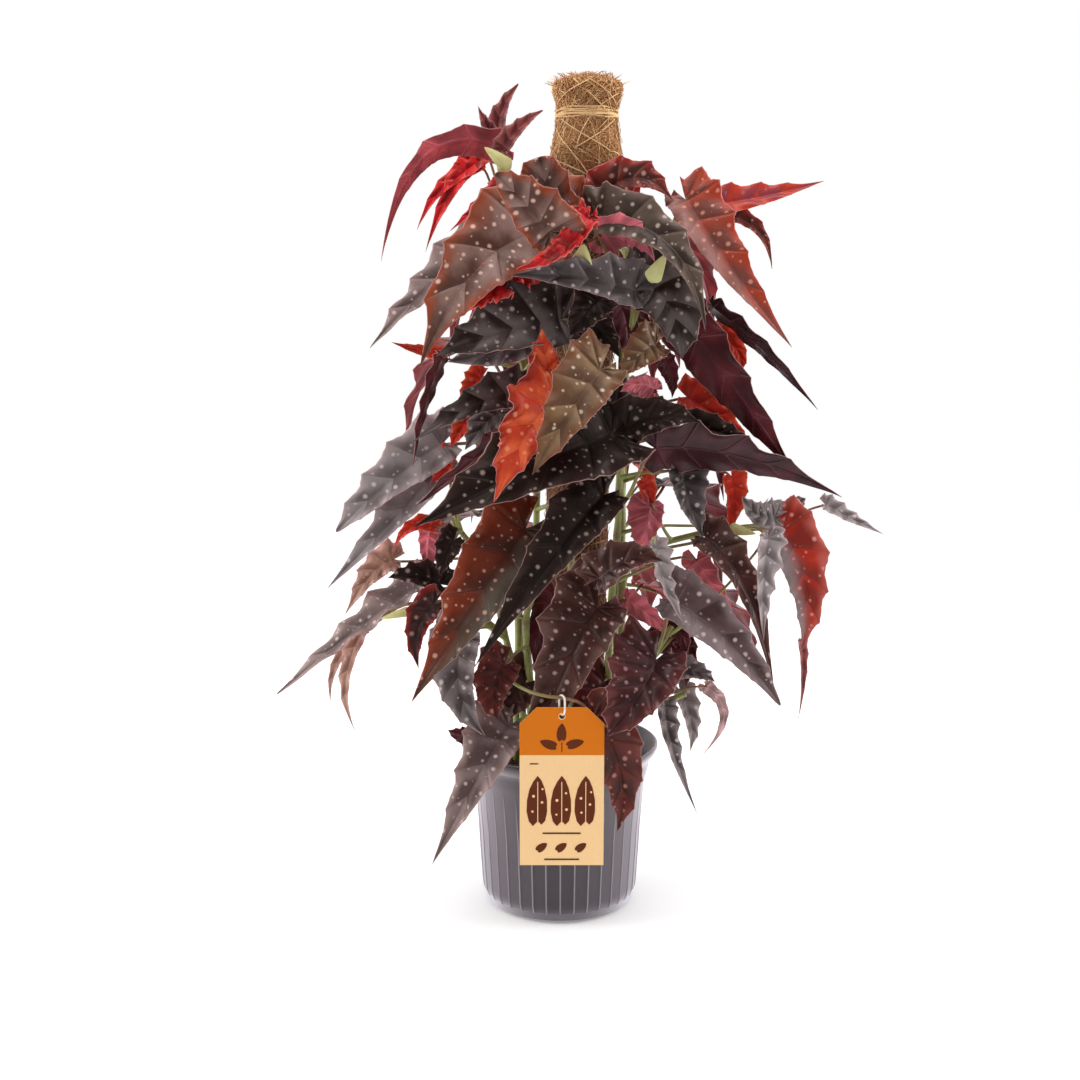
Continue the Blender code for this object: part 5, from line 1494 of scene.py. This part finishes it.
def loop_way():
    """The loop's middle line, round at both ends."""
    low = tag_hole().z + TAG_HOLE * math.cos(math.pi / 12) - LOOP_WIRE - GAP
    high = seen(TAG_HANG).z + PETIOLE_RADIUS + LOOP_WIRE + GAP
    straight = (high - low) / 2 - LOOP_HALF_WIDTH
    turn = math.radians(LOOP_TURN)
    across = Vector((math.sin(turn), -math.cos(turn), 0.0))
    middle = seen(TAG_HANG)
    middle.z = (low + high) / 2
    way = []
    for angle in (2 * math.pi * k / LOOP_STEPS for k in range(LOOP_STEPS + 1)):
        rise = LOOP_HALF_WIDTH * math.sin(angle) + straight * math.tanh(4 * math.sin(angle))
        way.append(middle + across * (LOOP_HALF_WIDTH * math.cos(angle)) + Vector((0.0, 0.0, rise)))
    return way


def make_loop():
    """The milky plastic loop through the tag's hole and over the petiole."""
    tubes = Tubes()
    tubes.add(loop_way(), LOOP_STRAP, 8, (0.0, 0.0, 0.0))
    skin = Shade("clear_loop", 0.18).done(screen(LOOP_COLOUR))
    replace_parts(tubes.piece("tag_loop_looks", "clear_loop", skin), "tag_loop")


def grow_leaves(canes, obstacles):
    """Place every leaf as the solids have it, then the small ones, and give each leaf's look by name."""
    leaves = [(front_leaf(*row), kind) for *row, kind in LEAVES]
    draw = random.Random(BACK_SEED)
    leaves += [(back_leaf(i, draw), BACK_KINDS[i % len(BACK_KINDS)]) for i in range(BACK_LEAVES)]
    for leaf, _ in leaves:
        place_leaf(leaf, canes, obstacles)
    small = [(front_leaf(*row), kind) for *row, kind in SMALL_LEAVES]
    draw = random.Random(YOUNG_SEED)
    small += [(young_leaf(i, draw), YOUNG_KINDS[i % len(YOUNG_KINDS)]) for i in range(YOUNG_LEAVES)]
    for leaf, _ in small:
        cane = min(canes, key=lambda cane: cane.best_root(leaf)[1])
        cane.leaves.append((leaf, [cane.best_root(leaf)[0]]))
    return {leaf.name: kind for leaf, kind in leaves + small}


def frame_obstacles():
    """The shells of the CAD nodes that leaves keep clear of."""
    obstacles = Obstacles()
    for name in ("pot", "soil", "coir_pole", "pole_tie", "care_tag", "tag_loop"):
        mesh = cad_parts[name].data
        obstacles.add(name, [v.co.copy() for v in mesh.vertices], [tuple(p.vertices) for p in mesh.polygons])
    return obstacles


def make_floor():
    """A plain pale floor."""
    mesh = bpy.data.meshes.new("floor")
    half = FLOOR_SIZE / 2
    mesh.from_pydata([(x, y, 0) for x, y in bar(-half, half, -half, half)], [], [(0, 1, 2, 3)])
    floor = bpy.data.objects.new("floor", mesh)
    floor.location.z = -FLOOR_DROP
    bpy.context.scene.collection.objects.link(floor)
    paint = plain("floor", (250, 250, 250), 0.9)
    shader = paint.node_tree.nodes["Principled BSDF"]
    shader.inputs["Emission Color"].default_value = (1.0, 1.0, 1.0, 1.0)
    shader.inputs["Emission Strength"].default_value = FLOOR_GLOW
    floor.data.materials.append(paint)


def make_light(name, place, target, size, power):
    """A soft square light."""
    light = bpy.data.lights.new(name, "AREA")
    light.shape = "SQUARE"
    light.size = size
    light.energy = power
    made = bpy.data.objects.new(name, light)
    made.location = place
    made.rotation_euler = (Vector(target) - Vector(place)).to_track_quat("-Z", "Y").to_euler()
    bpy.context.scene.collection.objects.link(made)


def make_world():
    """Surroundings that are white behind and beside the plant, and dimmer on the camera's side."""
    world = bpy.data.worlds.new("studio")
    world.use_nodes = True
    nodes, links = world.node_tree.nodes, world.node_tree.links
    way = nodes.new("ShaderNodeTexCoord")
    split = nodes.new("ShaderNodeSeparateXYZ")
    links.new(way.outputs["Generated"], split.inputs["Vector"])
    fade = nodes.new("ShaderNodeMapRange")
    fade.interpolation_type = "SMOOTHSTEP"
    links.new(split.outputs["Y"], fade.inputs["Value"])
    for name, value in zip(("From Min", "From Max", "To Min", "To Max"), (*WORLD_FADE, WORLD_FRONT, 1.0)):
        fade.inputs[name].default_value = value
    links.new(fade.outputs["Result"], nodes["Background"].inputs["Strength"])
    nodes["Background"].inputs["Color"].default_value = (1.0, 1.0, 1.0, 1.0)
    bpy.context.scene.world = world


def make_camera():
    """The photograph's view: the whole picture is 1.08 m wide at the pole."""
    lens = bpy.data.cameras.new("camera")
    lens.sensor_width = SENSOR
    lens.lens = SENSOR * (AIM - EYE).length / VIEW_WIDTH
    lens.clip_start = 0.05
    camera = bpy.data.objects.new("camera", lens)
    camera.location = EYE
    camera.rotation_euler = SIGHT.to_track_quat("-Z", "Y").to_euler()
    bpy.context.scene.collection.objects.link(camera)
    bpy.context.scene.camera = camera


def make_plant():
    """The canes with their stems and leaves, and the bracts."""
    canes = [Cane(name, foot, ways) for name, foot, *ways in CANES]
    obstacles = frame_obstacles()
    for cane in canes:
        for way in cane.curves:
            obstacles.add(cane.name, *tube_shell(way[1:], CANE_RADIUS + GAP))
    looks = grow_leaves(canes, obstacles)
    faces = {kind: leaf_face(kind) for kind in LEAF_LOOKS}
    unders = {kind: leaf_under(kind) for kind in LEAF_LOOKS}
    skin = stem_material()
    seed = 0
    for cane in canes:
        make_stems(cane, skin)
        for leaf, _ in cane.leaves:
            seed += 1
            kind = looks[leaf.name]
            fine_leaf(leaf, seed, faces[kind], unders[kind])
    bracts = bract_material()
    for number, (base, tip, width) in enumerate(PALE_BRACTS):
        make_bract(number, base, tip, width, bracts)


def main():
    """Build the looks."""
    make_plant()
    draw = random.Random(COIR_SEED)
    coir = coir_material()
    make_pole(coir, draw)
    make_tie(coir, draw)
    make_pot()
    make_soil(draw)
    make_tag()
    make_loop()
    make_floor()
    make_world()
    for light in LIGHTS:
        make_light(*light)
    make_camera()
    bpy.context.scene.view_settings.view_transform = "Standard"


main()
